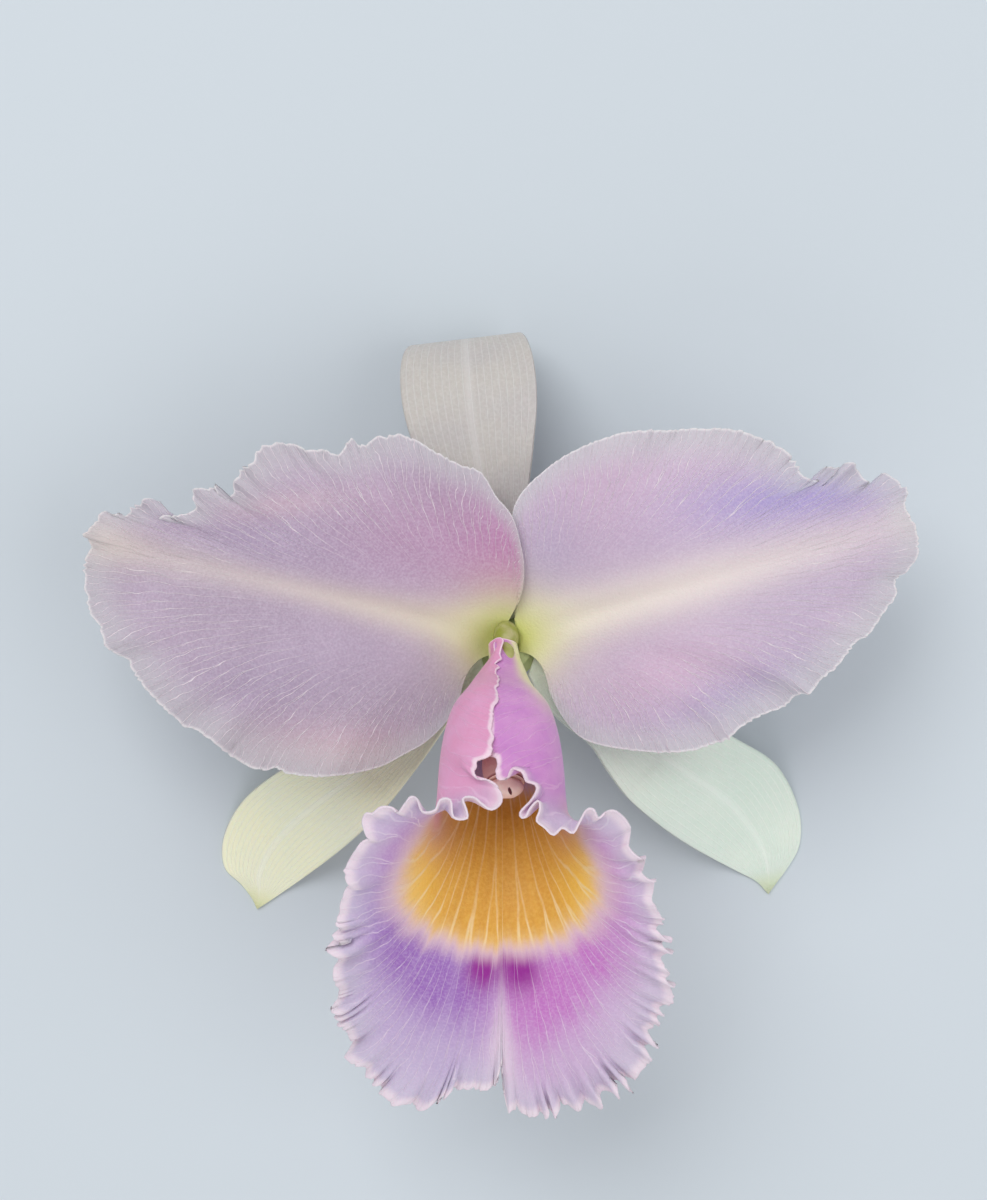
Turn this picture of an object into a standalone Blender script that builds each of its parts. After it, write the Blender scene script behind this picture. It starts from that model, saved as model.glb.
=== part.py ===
"""One cattleya bloom, as picked, lying on its back with its face up.

The flower opens along +Z, its dorsal sepal points to +Y and its lip to -Y. The tips of the three
sepals rest on the surface at z = 0, and the cut stalk lies just over it under the lip.

Shapes are worked out in millimetres from the flower's centre, where the petals meet, and are
turned into metres and moved to the resting place when a mesh is made.
"""

import math

import bmesh
import bpy
import numpy as np

MM = 0.001

# Resting place: the flower's centre over the middle of the bloom's box
CENTRE_X = 1.677
CENTRE_Y = 12.829
CENTRE_HEIGHT = 27.0

# Blade thicknesses
PETAL_THICKNESS = 0.8
SEPAL_THICKNESS = 0.9
LIP_THICKNESS = 0.8
SEAT_GAP = 0.3
MERGE_DISTANCE = 0.000002

# Petals
PETAL_REACH = 90.0
PETAL_CLAW_HEIGHT = 0.75
PETAL_RISE = 40.0
PETAL_FALL = 34.5
PETAL_CAMBER = 3.5
PETAL_HALF_WIDTH = 38.0
MIDRIB_DEPTH = 1.1
MIDRIB_WIDTH = 2.6
LEFT_PETAL_LIFT = 1.3
RIGHT_PETAL_LIFT = -0.7
PETAL_WAVE_HEIGHT = 1.2
PETAL_WAVE_COUNT = 5
PETAL_RIPPLE_HEIGHT = 1.1
PETAL_RIPPLE_COUNT = 11
PETAL_CUT_DEPTH = 0.7
PETAL_CUT_COUNT = 14
LEFT_PETAL_SEED = 11
RIGHT_PETAL_SEED = 21
PETAL_GRID = (12, 48)

# Sepals
SEPAL_CLAW_HEIGHT = -0.95
SEPAL_SPOT_HEIGHT = 0.5 * SEPAL_THICKNESS - CENTRE_HEIGHT
SEPAL_HOLLOW = 1.2
SEPAL_SAG = 3.0
SEPAL_BEND_START = 40.0
SEPAL_BEND_END = 77.0
SIDE_SEPAL_GRID = (24, 9)
DORSAL_SEPAL_GRID = (26, 9)

# Lip: its sheet is rolled into a tube round the column and opens into a frilled disc
SEAM_CLEARANCE = 0.75
LIP_START_X = 0.3
LIP_OFFSET = -2.2
LIP_LENGTH = 112.0
FRILL_HEIGHT = 1.5
FRILL_COUNT = 30
LIP_GRID = (13, 140)

# Column, anther cap, ovary and stalk
COLUMN_NARROWNESS = 0.84
COLUMN_FLATNESS = 0.78
COLUMN_GRID = (14, 20)
CAP_SIDES = 16
OVARY_STEPS = 14
STALK_STEPS = 8
STALK_RADIUS = 2.3
STALK_CLEARANCE = 0.3
STALK_X = -1.4
STALK_START_Y = -24.0
STALK_LENGTH = 66.0

# Petals: the two corners of the claw, then the margin from its lower side to its upper side
PETAL_LEFT_CLAW = [(-5.6, -1.2), (-4.3, 3.6)]
PETAL_LEFT_MARGIN = [
    (-10.4, -10.4), (-14.4, -18.2), (-23.8, -22.7), (-39.9, -25.6),
    (-52.1, -24.8), (-64.4, -17.4), (-75.9, -9.3), (-85.0, 1.3), (-89.2, 10.8), (-89.8, 19.3),
    (-88.1, 25.6), (-81.2, 29.4), (-72.7, 31.5), (-62.1, 35.5), (-52.1, 41.5), (-39.9, 43.4),
    (-26.1, 45.3), (-14.4, 42.1), (-4.9, 36.6), (1.0, 28.8), (3.8, 19.3), (2.4, 11.0),
]
PETAL_LEFT_TIP = (-90.0, 24.0)
PETAL_RIGHT_CLAW = [(5.0, -0.2), (3.9, 4.6)]
PETAL_RIGHT_MARGIN = [
    (9.6, -8.3), (13.6, -15.1), (25.7, -21.1), (37.2, -20.7), (52.5, -16.2),
    (64.4, -8.3), (72.7, -0.3), (81.9, 10.4), (86.3, 22.5), (85.9, 31.0), (83.4, 36.3),
    (76.5, 38.4), (68.5, 38.4), (61.4, 39.5), (50.8, 45.7), (38.7, 47.0), (24.7, 46.3),
    (12.5, 41.9), (4.7, 34.6), (1.2, 27.8), (0.8, 19.3), (2.0, 11.5),
]
PETAL_RIGHT_TIP = (86.5, 28.0)

# Side sepals: outer and inner margin, each from the claw to the tip
SEPAL_LEFT_OUTER = [
    (-6.2, 0.4), (-9.4, -4.6), (-14.7, -8.7), (-26.6, -14.8), (-39.8, -21.5), (-51.7, -27.9),
    (-60.5, -35.6), (-64.5, -43.7), (-64.1, -50.1), (-60.5, -53.7), (-58.0, -56.9), (-56.8, -59.4),
]
SEPAL_LEFT_INNER = [
    (-4.9, -5.2), (-9.9, -10.8), (-14.7, -18.4), (-20.1, -26.1), (-26.7, -34.5), (-36.0, -43.7),
    (-46.9, -52.6), (-54.3, -57.8), (-56.8, -59.4),
]
SEPAL_RIGHT_OUTER = [
    (6.4, 0.6), (11.0, -3.4), (24.0, -8.2), (39.6, -14.2), (50.1, -19.6), (60.7, -26.6),
    (66.3, -37.4), (66.3, -45.1), (63.6, -50.1), (61.1, -53.5), (59.3, -56.0),
]
SEPAL_RIGHT_INNER = [
    (4.5, -5.2), (8.0, -11.9), (12.4, -16.3), (17.8, -20.6), (21.3, -25.9), (25.7, -31.8),
    (32.3, -37.8), (41.2, -44.3), (51.6, -50.4), (56.8, -53.3), (59.3, -56.0),
]

# Dorsal sepal: its midline bends back to the surface; half widths along it
DORSAL_LINE = [
    (-0.2, 6.6, -0.95), (-1.2, 13.0, -0.9), (-3.2, 24.0, -0.6), (-5.4, 35.0, -0.6),
    (-7.1, 45.0, -1.0), (-8.2, 54.0, -2.6), (-8.9, 62.0, -6.6), (-9.2, 67.4, -12.6),
    (-9.1, 68.8, -19.0), (-8.8, 66.8, -24.0), (-8.4, 62.8, -27.0), (-8.1, 58.6, -27.4),
    (-7.9, 55.2, -26.0),
]
DORSAL_WIDTHS = [
    (0.0, 3.4), (0.1, 4.6), (0.25, 8.4), (0.4, 12.4), (0.52, 14.5), (0.66, 14.3), (0.78, 11.8),
    (0.88, 8.2), (0.95, 4.8), (1.0, 0.9),
]

# Lip: half outlines in the flattened sheet, along the midline and away from it, claw to notch
LIP_CLAW_START = 4.5
LIP_CLAW_HALF_WIDTH = 3.0
LIP_LEFT_OUTLINE = [
    (3.3, 6.4), (2.4, 11.8), (6.5, 16.0), (13.5, 23.4), (21.0, 31.8), (28.5, 35.6),
    (34.0, 36.8), (38.0, 36.2), (41.0, 35.8), (43.2, 36.2), (44.8, 35.8), (46.4, 36.2),
    (47.9, 38.0), (49.2, 38.4), (51.0, 38.5), (53.8, 37.6), (57.6, 35.6), (63.9, 34.0),
    (73.2, 33.8), (84.1, 33.4), (94.0, 31.0), (100.2, 26.0), (103.8, 19.0), (103.6, 12.3),
    (101.0, 6.1), (98.9, 2.3), (97.2, 0.0),
]
LIP_RIGHT_OUTLINE = [
    (3.3, 6.4), (2.4, 12.8), (6.5, 17.6), (13.5, 25.8), (21.0, 35.0), (28.5, 39.3),
    (34.0, 40.8), (38.0, 40.6), (40.6, 39.0), (42.6, 37.0), (44.6, 35.6), (46.4, 35.2),
    (47.8, 36.4), (48.8, 37.6), (50.3, 37.4), (53.0, 36.0), (56.6, 34.9), (61.8, 33.7),
    (68.8, 33.6), (76.9, 33.6), (85.1, 32.7), (92.8, 30.6), (98.6, 27.0), (102.6, 21.9),
    (104.8, 15.8), (104.9, 9.1), (102.3, 3.6), (99.6, 1.2), (97.2, 0.0),
]
# Lean of the lip's floor from +Z toward -Y, in degrees along the midline
LIP_LEAN = [
    (0, 78), (6, 68), (14, 60), (30, 59), (46, 60), (54, 67), (64, 84), (74, 96), (89, 107),
    (102, 112), (112, 114),
]
# Lean of the plane that each cross-section lies in
LIP_SECTION_LEAN = [
    (0, 78), (6, 68), (14, 60), (32, 60), (38, 63), (44, 67), (48, 68), (52, 71), (58, 78),
    (64, 85), (74, 96), (89, 107), (102, 112), (112, 114),
]
# Half width of the rolled sheet along the midline
LIP_HALF_WIDTH = [
    (0, 10.0), (3, 13.0), (7, 17.0), (14, 24.2), (21.5, 32.5), (28.5, 36.5), (38, 39.5),
    (46, 40.5), (54, 39.0), (62, 36.5), (70, 35.0), (112, 35.0),
]
# Turn of each cross-section from the floor to the margin, and how much it flares back
LIP_TURN = [
    (0, 3.1), (42, 3.1), (44.2, 3.1), (46.2, 3.1), (48.2, 3.05), (50.5, 2.85), (54, 2.4),
    (58, 1.75), (62.5, 1.15), (67, 0.6), (73, 0.1), (90, -0.3), (112, -0.3),
]
LIP_FLARE = [
    (0, 0.0), (36, 0.0), (42, 0.0), (44.2, 0.12), (46.2, 0.45), (48.2, 0.72), (50.5, 0.86),
    (54, 0.95), (58, 1.0), (62.5, 1.05), (67, 1.1), (73, 0.9), (90, 0.0), (112, 0.0),
]

# Column: centre line from its foot to its tip, half widths along it
COLUMN_LINE = [
    (-0.4, 1.0, 0.6), (-0.5, 0.3, 3.6), (-0.7, -1.9, 6.6), (-1.0, -4.3, 9.5), (-1.3, -7.0, 12.9),
    (-1.4, -11.6, 18.4), (-1.2, -17.8, 24.4), (-0.9, -24.4, 29.6),
]
COLUMN_RADII = [
    (0.0, 3.6), (0.06, 3.2), (0.13, 2.6), (0.25, 2.7), (0.4, 3.1), (0.6, 3.9), (0.8, 4.6),
    (0.95, 4.8), (1.0, 4.2),
]
CAP_PROFILE = [(0.0, 3.1), (0.7, 3.3), (1.5, 3.0), (2.3, 2.2), (2.8, 1.0)]

# Ovary and stalk: centre line below the receptacle, and radii along it
OVARY_LINE = [
    (0.0, 1.0, -8.0), (-0.1, 0.6, -11.0), (-0.3, -1.4, -15.0), (-0.7, -5.6, -19.2),
    (-1.0, -12.0, -22.4), (-1.3, -20.0, -24.0),
]
OVARY_RADII = [3.3, 3.2, 3.1, 2.9, 2.7, 2.5]
# Receptacle: depth below the petals' seat and radius, a step for the petals and one for the sepals
RECEPTACLE_STEPS = [(0.0, 5.2), (1.6, 5.2), (1.7, 7.0), (2.5, 6.9), (4.4, 4.5), (6.2, 3.6)]

COLOURS = {
    "petal": (0.60, 0.47, 0.62),
    "sepal": (0.80, 0.81, 0.62),
    "dorsal": (0.66, 0.62, 0.64),
    "lip": (0.66, 0.36, 0.62),
    "column": (0.62, 0.52, 0.30),
    "cap": (0.72, 0.52, 0.50),
    "stalk": (0.22, 0.32, 0.10),
}


def ramp(value, start, end):
    """A smooth step from 0 at start to 1 at end."""
    t = np.clip((value - start) / (end - start), 0.0, 1.0)
    return t * t * (3.0 - 2.0 * t)


def along_table(value, table):
    """Read a table of (place, amount) pairs as a smooth curve through its points."""
    places = np.array([row[0] for row in table], float)
    amounts = np.array([row[1] for row in table], float)
    slopes = np.gradient(amounts, places)
    value = np.clip(value, places[0], places[-1])
    i = np.clip(np.searchsorted(places, value, side="right") - 1, 0, len(places) - 2)
    step = places[i + 1] - places[i]
    t = (value - places[i]) / step
    ends = (2 * t**3 - 3 * t**2 + 1) * amounts[i] + (3 * t**2 - 2 * t**3) * amounts[i + 1]
    bends = (t**3 - 2 * t**2 + t) * slopes[i] + (t**3 - t**2) * slopes[i + 1]
    return ends + bends * step


def smooth_line(points, count):
    """A smooth line through the points, cut into evenly spaced places."""
    points = np.array(points, float)
    chords = np.linalg.norm(np.diff(points, axis=0), axis=1)
    knots = np.concatenate([[0.0], np.cumsum(np.sqrt(chords))])
    fine = np.linspace(0.0, knots[-1], 40 * len(points))
    columns = []
    for axis in range(points.shape[1]):
        columns.append(along_table(fine, list(zip(knots, points[:, axis]))))
    line = np.stack(columns, axis=-1)
    travelled = np.concatenate([[0.0], np.cumsum(np.linalg.norm(np.diff(line, axis=0), axis=1))])
    places = np.linspace(0.0, travelled[-1], count)
    return np.stack([np.interp(places, travelled, line[:, k]) for k in range(line.shape[1])], axis=-1)


def waves(place, count, seed):
    """Uneven waves of about one unit either way, count of them from place 0 to place 1."""
    rng = np.random.default_rng(seed)
    phases = rng.random(4)
    warped = place + 0.3 / count * np.sin(2 * np.pi * (0.23 * count * place + phases[0]))
    long_wave = np.sin(2 * np.pi * (count * warped + phases[1]))
    short_wave = np.sin(2 * np.pi * (1.7 * count * warped + phases[2]))
    return 0.85 * long_wave + 0.4 * short_wave


def fan(claw, margin, direction, rows, gather):
    """Veins from the claw to the margin: each leaves near the midrib and curves out to its place."""
    share = np.linspace(0.0, 1.0, len(margin))[:, None]
    claw = np.array(claw)
    roots = claw[0] + (claw[1] - claw[0]) * share
    spans = margin - roots
    lengths = np.linalg.norm(spans, axis=1)
    turn = np.arctan2(spans[:, 1], spans[:, 0]) - direction
    turn = (turn + np.pi) % (2.0 * np.pi) - np.pi
    heading = direction + gather * turn
    leads = roots + 0.5 * lengths[:, None] * np.stack([np.cos(heading), np.sin(heading)], axis=-1)
    t = rows[:, None, None]
    return (1 - t) ** 2 * roots + 2 * (1 - t) * t * leads + t**2 * margin


def petal_surface(claw, margin, tip, lift, seed):
    """A broad petal: it rises from its claw, levels out and falls at the margin, gently waved.

    The height over the flower's centre is a parabola of the distance from it, less a groove
    along the midrib and a camber across the blade. The margin is waved and finely cut.
    """
    rows, columns = PETAL_GRID
    edge = smooth_line(margin, columns)
    middle = np.mean(claw, axis=0)
    midrib = np.array(tip) - middle
    reach = np.linalg.norm(midrib)
    direction = math.atan2(midrib[1], midrib[0])
    t = 1.0 - (1.0 - np.linspace(0.0, 1.0, rows)) ** 1.25
    flat = fan(claw, edge, direction, t, 0.7)
    offset = flat - middle
    along = (offset @ midrib) / reach**2
    across = (offset[..., 1] * midrib[0] - offset[..., 0] * midrib[1]) / reach
    span = np.linalg.norm(flat, axis=-1) / PETAL_REACH
    start = np.linalg.norm(middle) / PETAL_REACH
    height = PETAL_CLAW_HEIGHT + PETAL_RISE * (span - start) - PETAL_FALL * (span - start) ** 2
    height += lift * ramp(span, 0.04, 0.12)
    groove = ramp(along, 0.04, 0.2) * (1.0 - ramp(along, 0.75, 1.0))
    height -= MIDRIB_DEPTH * groove * np.exp(-((across / MIDRIB_WIDTH) ** 2))
    camber = np.clip(np.abs(across) / PETAL_HALF_WIDTH, 0.0, 1.2) ** 2
    height -= PETAL_CAMBER * camber * ramp(span, 0.25, 0.7)
    place = np.linspace(0.0, 1.0, columns)[None, :]
    frilled = ramp(place, 0.05, 0.16) * (1.0 - ramp(place, 0.84, 0.95))
    wave = PETAL_WAVE_HEIGHT * waves(place, PETAL_WAVE_COUNT, seed)
    ripple = PETAL_RIPPLE_HEIGHT * waves(place, PETAL_RIPPLE_COUNT, seed + 1)
    height += ramp(t, 0.35, 1.0)[:, None] * frilled * wave
    height += ramp(t, 0.7, 1.0)[:, None] * frilled * ripple
    outward = offset / np.maximum(np.linalg.norm(offset, axis=-1, keepdims=True), 0.001)
    cut = PETAL_CUT_DEPTH * ramp(t, 0.8, 1.0)[:, None] * frilled
    cut = cut * waves(place, PETAL_CUT_COUNT, seed + 2)
    return np.dstack([flat + outward * cut[..., None], height])


def side_sepal_height(distance):
    """Height of a side sepal: nearly level near the centre, then down to a flat spot at its tip."""
    fall = ramp(distance, SEPAL_BEND_START, SEPAL_BEND_END)
    sag = -SEPAL_SAG * (np.clip(distance, 0.0, SEPAL_BEND_START) / SEPAL_BEND_START) ** 2
    level = SEPAL_CLAW_HEIGHT + sag
    return level + (SEPAL_SPOT_HEIGHT - level) * fall


def side_sepal_surface(outer, inner):
    """A side sepal: a strap between its two margins that slopes back until its tip rests.

    Near the centre its sides stand a little over its middle.
    """
    rows, columns = SIDE_SEPAL_GRID
    outer_edge = smooth_line(outer, rows)[:, None, :]
    inner_edge = smooth_line(inner, rows)[:, None, :]
    w = np.linspace(0.0, 1.0, columns)[:, None]
    flat = outer_edge + (inner_edge - outer_edge) * w
    distance = np.linalg.norm(flat, axis=-1)
    middle = flat[:, columns // 2 : columns // 2 + 1, :]
    hollow = SEPAL_HOLLOW * (1.0 - ramp(np.linalg.norm(middle, axis=-1), 30.0, 62.0))
    height = side_sepal_height(distance) + hollow * (2.0 * w[:, 0] - 1.0) ** 2
    return np.dstack([flat, height])


def dorsal_sepal_surface():
    """The dorsal sepal: a strap swept along its midline, hollowed a little across, curled back."""
    rows, columns = DORSAL_SEPAL_GRID
    line = smooth_line(DORSAL_LINE, rows)
    forward = np.gradient(line, axis=0)
    forward /= np.linalg.norm(forward, axis=1, keepdims=True)
    across = np.cross(forward, np.cross(np.array([1.0, 0.12, 0.0]), forward))
    across /= np.linalg.norm(across, axis=1, keepdims=True)
    face = np.cross(across, forward)
    s = np.linspace(0.0, 1.0, rows)
    w = np.linspace(-1.0, 1.0, columns)
    half = along_table(s, DORSAL_WIDTHS)
    hollow = 0.11 * half * (1.0 - ramp(s, 0.3, 0.75))
    side = (half[:, None] * w)[..., None] * across[:, None, :]
    surface = line[:, None, :] + side + (hollow[:, None] * w**2)[..., None] * face[:, None, :]
    surface[..., 2] = np.maximum(surface[..., 2], SEPAL_SPOT_HEIGHT)
    return surface


def lip_floor():
    """Height and forward place of the lip's midline, added up from its lean."""
    p = np.linspace(0.0, LIP_LENGTH, 1121)
    lean = np.radians(along_table(p, LIP_LEAN))
    step = p[1] - p[0]
    y = 1.0 - step * np.concatenate([[0.0], np.cumsum(np.sin(lean[1:]))])
    z = 1.0 + step * np.concatenate([[0.0], np.cumsum(np.cos(lean[1:]))])
    return p, y, z


def section_sweep(turn, flare, s):
    """Add up a cross-section whose tangent has turned by turn * s * (1 - flare * s^2) at s."""
    nodes, weights = np.polynomial.legendre.leggauss(12)
    x = np.zeros_like(s)
    n = np.zeros_like(s)
    for node, weight in zip(nodes, weights):
        u = 0.5 * (node + 1.0) * s
        angle = turn * u * (1.0 - flare * u**2)
        x += 0.5 * weight * s * np.cos(angle)
        n += 0.5 * weight * s * np.sin(angle)
    return x, n


def lip_point(p, q):
    """Roll the flattened lip: p runs along the midline, q away from it, to the left if negative."""
    floor_p, floor_y, floor_z = lip_floor()
    side = np.where(q < 0.0, -1.0, 1.0)
    half = along_table(p, LIP_HALF_WIDTH)
    s = np.abs(q) / half
    turn = along_table(p, LIP_TURN)
    flare = along_table(p, LIP_FLARE)
    x, n = section_sweep(turn, flare, s)
    # the left lobe lies over the right one along the tube's seam
    angle = turn * s * (1.0 - flare * s**2)
    lift = -side * SEAM_CLEARANCE * ramp(s, 0.72, 0.95) * (1.0 - ramp(p, 38.0, 44.0))
    x = side * (x * half + lift * np.sin(angle))
    n = n * half - lift * np.cos(angle)
    lean = np.radians(along_table(p, LIP_SECTION_LEAN))
    y = np.interp(p, floor_p, floor_y) + n * np.cos(lean)
    z = np.interp(p, floor_p, floor_z) + n * np.sin(lean)
    x = x + LIP_START_X + LIP_OFFSET * ramp(p, 0.0, 14.0)
    return np.stack([x, y, z], axis=-1)


def lip_surface():
    """The lip: veins fan out in the flattened sheet, the sheet is rolled, then its margin is frilled."""
    rows, columns = LIP_GRID
    left = smooth_line([(p, -q) for p, q in LIP_LEFT_OUTLINE], columns // 2)
    right = smooth_line(LIP_RIGHT_OUTLINE, columns // 2)
    margin = np.vstack([left, right[-2::-1]])
    place = np.linspace(0.0, 1.0, len(margin))
    across = LIP_CLAW_HALF_WIDTH * (2.0 * place - 1.0)
    roots = np.stack([np.full_like(place, LIP_CLAW_START), across], axis=-1)
    lead = 0.45 * np.maximum(margin[:, 0] - LIP_CLAW_START, 0.25 * np.abs(margin[:, 1]))
    leads = roots + np.stack([lead, 0.16 * margin[:, 1]], axis=-1)
    t = (1.0 - (1.0 - np.linspace(0.0, 1.0, rows)) ** 1.3)[:, None, None]
    sheet = (1 - t) ** 2 * roots + 2 * (1 - t) * t * leads + t**2 * margin
    surface = lip_point(sheet[..., 0], sheet[..., 1])
    normal = np.cross(np.gradient(surface, axis=0), np.gradient(surface, axis=1))
    normal /= np.linalg.norm(normal, axis=-1, keepdims=True)
    frill = FRILL_HEIGHT * ramp(margin[:, 0], 40.0, 47.0) * waves(place, FRILL_COUNT, 5)
    frill = frill * ramp(t[..., 0], 0.62, 1.0) ** 1.5
    return surface + normal * frill[..., None]


def material(name, colour, roughness):
    """A plain Principled material."""
    made = bpy.data.materials.new(name)
    made.use_nodes = True
    shader = made.node_tree.nodes["Principled BSDF"]
    shader.inputs["Base Color"].default_value = (*colour, 1.0)
    shader.inputs["Roughness"].default_value = roughness
    shader.inputs["Metallic"].default_value = 0.0
    return made


def add_object(name, mesh, colour, roughness, collection):
    """Link a mesh as a named object with its own material, standing at its resting place."""
    made = bpy.data.objects.new(name, mesh)
    made.location = (CENTRE_X * MM, CENTRE_Y * MM, CENTRE_HEIGHT * MM)
    mesh.materials.append(material(name, COLOURS[colour], roughness))
    collection.objects.link(made)
    return made


def grid_mesh(name, surface):
    """A grid primitive moved onto the surface; points that meet at a claw's corner are merged."""
    rows, columns = surface.shape[:2]
    bm = bmesh.new()
    bmesh.ops.create_grid(bm, x_segments=columns - 1, y_segments=rows - 1, size=1.0)
    for vertex in bm.verts:
        column = round((vertex.co.x + 1.0) * 0.5 * (columns - 1))
        row = round((vertex.co.y + 1.0) * 0.5 * (rows - 1))
        vertex.co = surface[row, column] * MM
    bmesh.ops.remove_doubles(bm, verts=bm.verts, dist=MERGE_DISTANCE)
    mesh = bpy.data.meshes.new(name)
    bm.to_mesh(mesh)
    bm.free()
    mesh.shade_smooth()
    return mesh


def add_blade(name, surface, thickness, colour, collection):
    """A leaf-thin solid: an open grid, split into triangles, with its thickness to both sides."""
    blade = add_object(name, grid_mesh(name, surface), colour, 0.55, collection)
    split = blade.modifiers.new("Triangulate", "TRIANGULATE")
    split.quad_method = "SHORTEST_DIAGONAL"
    shell = blade.modifiers.new("Solidify", "SOLIDIFY")
    shell.thickness = thickness * MM
    shell.offset = 0.0
    return blade


def loft_mesh(name, rings):
    """A closed skin over a row of rings with a flat cap at each end."""
    rows, around = rings.shape[:2]
    points = [tuple(point * MM) for ring in rings for point in ring]
    faces = []
    for row in range(rows - 1):
        for k in range(around):
            after = (k + 1) % around
            a = row * around
            b = a + around
            faces.append((a + k, a + after, b + after, b + k))
    faces.append(tuple(range(around - 1, -1, -1)))
    faces.append(tuple(range((rows - 1) * around, rows * around)))
    mesh = bpy.data.meshes.new(name)
    mesh.from_pydata(points, [], faces)
    mesh.shade_smooth()
    return mesh


def column_rings():
    """Flattened rings along the column; its foot is a level face on the receptacle."""
    rows, around = COLUMN_GRID
    line = smooth_line(COLUMN_LINE, rows)
    forward = np.gradient(line, axis=0)
    forward[0] = (0.0, 0.0, 1.0)
    forward /= np.linalg.norm(forward, axis=1, keepdims=True)
    side = np.array([1.0, 0.0, 0.0]) - forward[:, :1] * forward
    side /= np.linalg.norm(side, axis=1, keepdims=True)
    back = np.cross(forward, side)
    place = np.linspace(0.0, 1.0, rows)
    radius = along_table(place, COLUMN_RADII)
    flatness = along_table(place, [(0.0, 1.1), (0.3, 1.0), (1.0, COLUMN_FLATNESS)])
    angle = 2.0 * np.pi * np.arange(around) / around
    wide = np.cos(angle)[None, :, None] * side[:, None, :] * COLUMN_NARROWNESS
    thick = np.sin(angle)[None, :, None] * back[:, None, :] * flatness[:, None, None]
    return line[:, None, :] + radius[:, None, None] * (wide + thick)


def add_column(collection):
    """The column that the lip's tube is rolled round."""
    add_object("column", loft_mesh("column", column_rings()), "column", 0.5, collection)


def add_anther_cap(collection):
    """The anther cap: a small dome on the column's tip, its flat underside facing the column."""
    tip = np.array(COLUMN_LINE[-1])
    forward = tip - np.array(COLUMN_LINE[-2])
    forward /= np.linalg.norm(forward)
    side = np.array([1.0, 0.0, 0.0]) - forward[0] * forward
    side /= np.linalg.norm(side)
    back = np.cross(forward, side)
    rings = []
    for depth, radius in CAP_PROFILE:
        centre = tip + forward * (SEAT_GAP + depth)
        angle = 2.0 * np.pi * np.arange(CAP_SIDES) / CAP_SIDES
        wide = np.cos(angle)[:, None] * side
        thick = np.sin(angle)[:, None] * back * COLUMN_FLATNESS
        rings.append(centre + radius * (wide + thick))
    add_object("anther_cap", loft_mesh("anther_cap", np.array(rings)), "cap", 0.45, collection)


def add_ovary_and_stalk(collection):
    """Receptacle, ovary and cut stalk in one piece: a curve whose radius changes along it."""
    route = [(0.0, 1.0, -depth) for depth, radius in RECEPTACLE_STEPS]
    radii = [radius for depth, radius in RECEPTACLE_STEPS]
    ovary = smooth_line(OVARY_LINE, OVARY_STEPS)
    route += [tuple(point) for point in ovary]
    places = np.linspace(0.0, 1.0, len(OVARY_RADII))
    radii += list(np.interp(np.linspace(0.0, 1.0, OVARY_STEPS), places, OVARY_RADII))
    level = STALK_RADIUS + STALK_CLEARANCE - CENTRE_HEIGHT
    for y in np.linspace(STALK_START_Y, -STALK_LENGTH, STALK_STEPS):
        route.append((STALK_X, y, level))
        radii.append(STALK_RADIUS)
    curve = bpy.data.curves.new("ovary_and_stalk", "CURVE")
    curve.dimensions = "3D"
    curve.twist_mode = "MINIMUM"
    curve.bevel_depth = MM
    curve.bevel_resolution = 4
    curve.use_fill_caps = True
    curve.render_resolution_u = 0
    line = curve.splines.new("POLY")
    line.points.add(len(route) - 1)
    for point, place, radius in zip(line.points, route, radii):
        point.co = (place[0] * MM, place[1] * MM, place[2] * MM, 1.0)
        point.radius = radius
    add_object("ovary_and_stalk", curve, "stalk", 0.5, collection)


def build():
    """Model the whole bloom."""
    for old in list(bpy.data.objects):
        bpy.data.objects.remove(old)
    collection = bpy.data.collections.new("cattleya_orchid")
    bpy.context.scene.collection.children.link(collection)
    left = petal_surface(
        PETAL_LEFT_CLAW, PETAL_LEFT_MARGIN, PETAL_LEFT_TIP, LEFT_PETAL_LIFT, LEFT_PETAL_SEED
    )
    add_blade("petal_left", left, PETAL_THICKNESS, "petal", collection)
    right = petal_surface(
        PETAL_RIGHT_CLAW, PETAL_RIGHT_MARGIN, PETAL_RIGHT_TIP, RIGHT_PETAL_LIFT, RIGHT_PETAL_SEED
    )
    add_blade("petal_right", right, PETAL_THICKNESS, "petal", collection)
    side_left = side_sepal_surface(SEPAL_LEFT_OUTER, SEPAL_LEFT_INNER)
    add_blade("sepal_left", side_left, SEPAL_THICKNESS, "sepal", collection)
    side_right = side_sepal_surface(SEPAL_RIGHT_OUTER, SEPAL_RIGHT_INNER)
    add_blade("sepal_right", side_right, SEPAL_THICKNESS, "sepal", collection)
    add_blade("sepal_dorsal", dorsal_sepal_surface(), SEPAL_THICKNESS, "dorsal", collection)
    add_blade("lip", lip_surface(), LIP_THICKNESS, "lip", collection)
    add_column(collection)
    add_anther_cap(collection)
    add_ovary_and_stalk(collection)


build()
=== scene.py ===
"""The looks of one cattleya bloom, as picked, lying on its back with its face up.

Every piece is worked out in millimetres from the flower's centre, where the petals meet, and is
put into its mesh in metres at the place where the bloom rests: face to +Z, dorsal sepal to +Y.
"""

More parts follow.
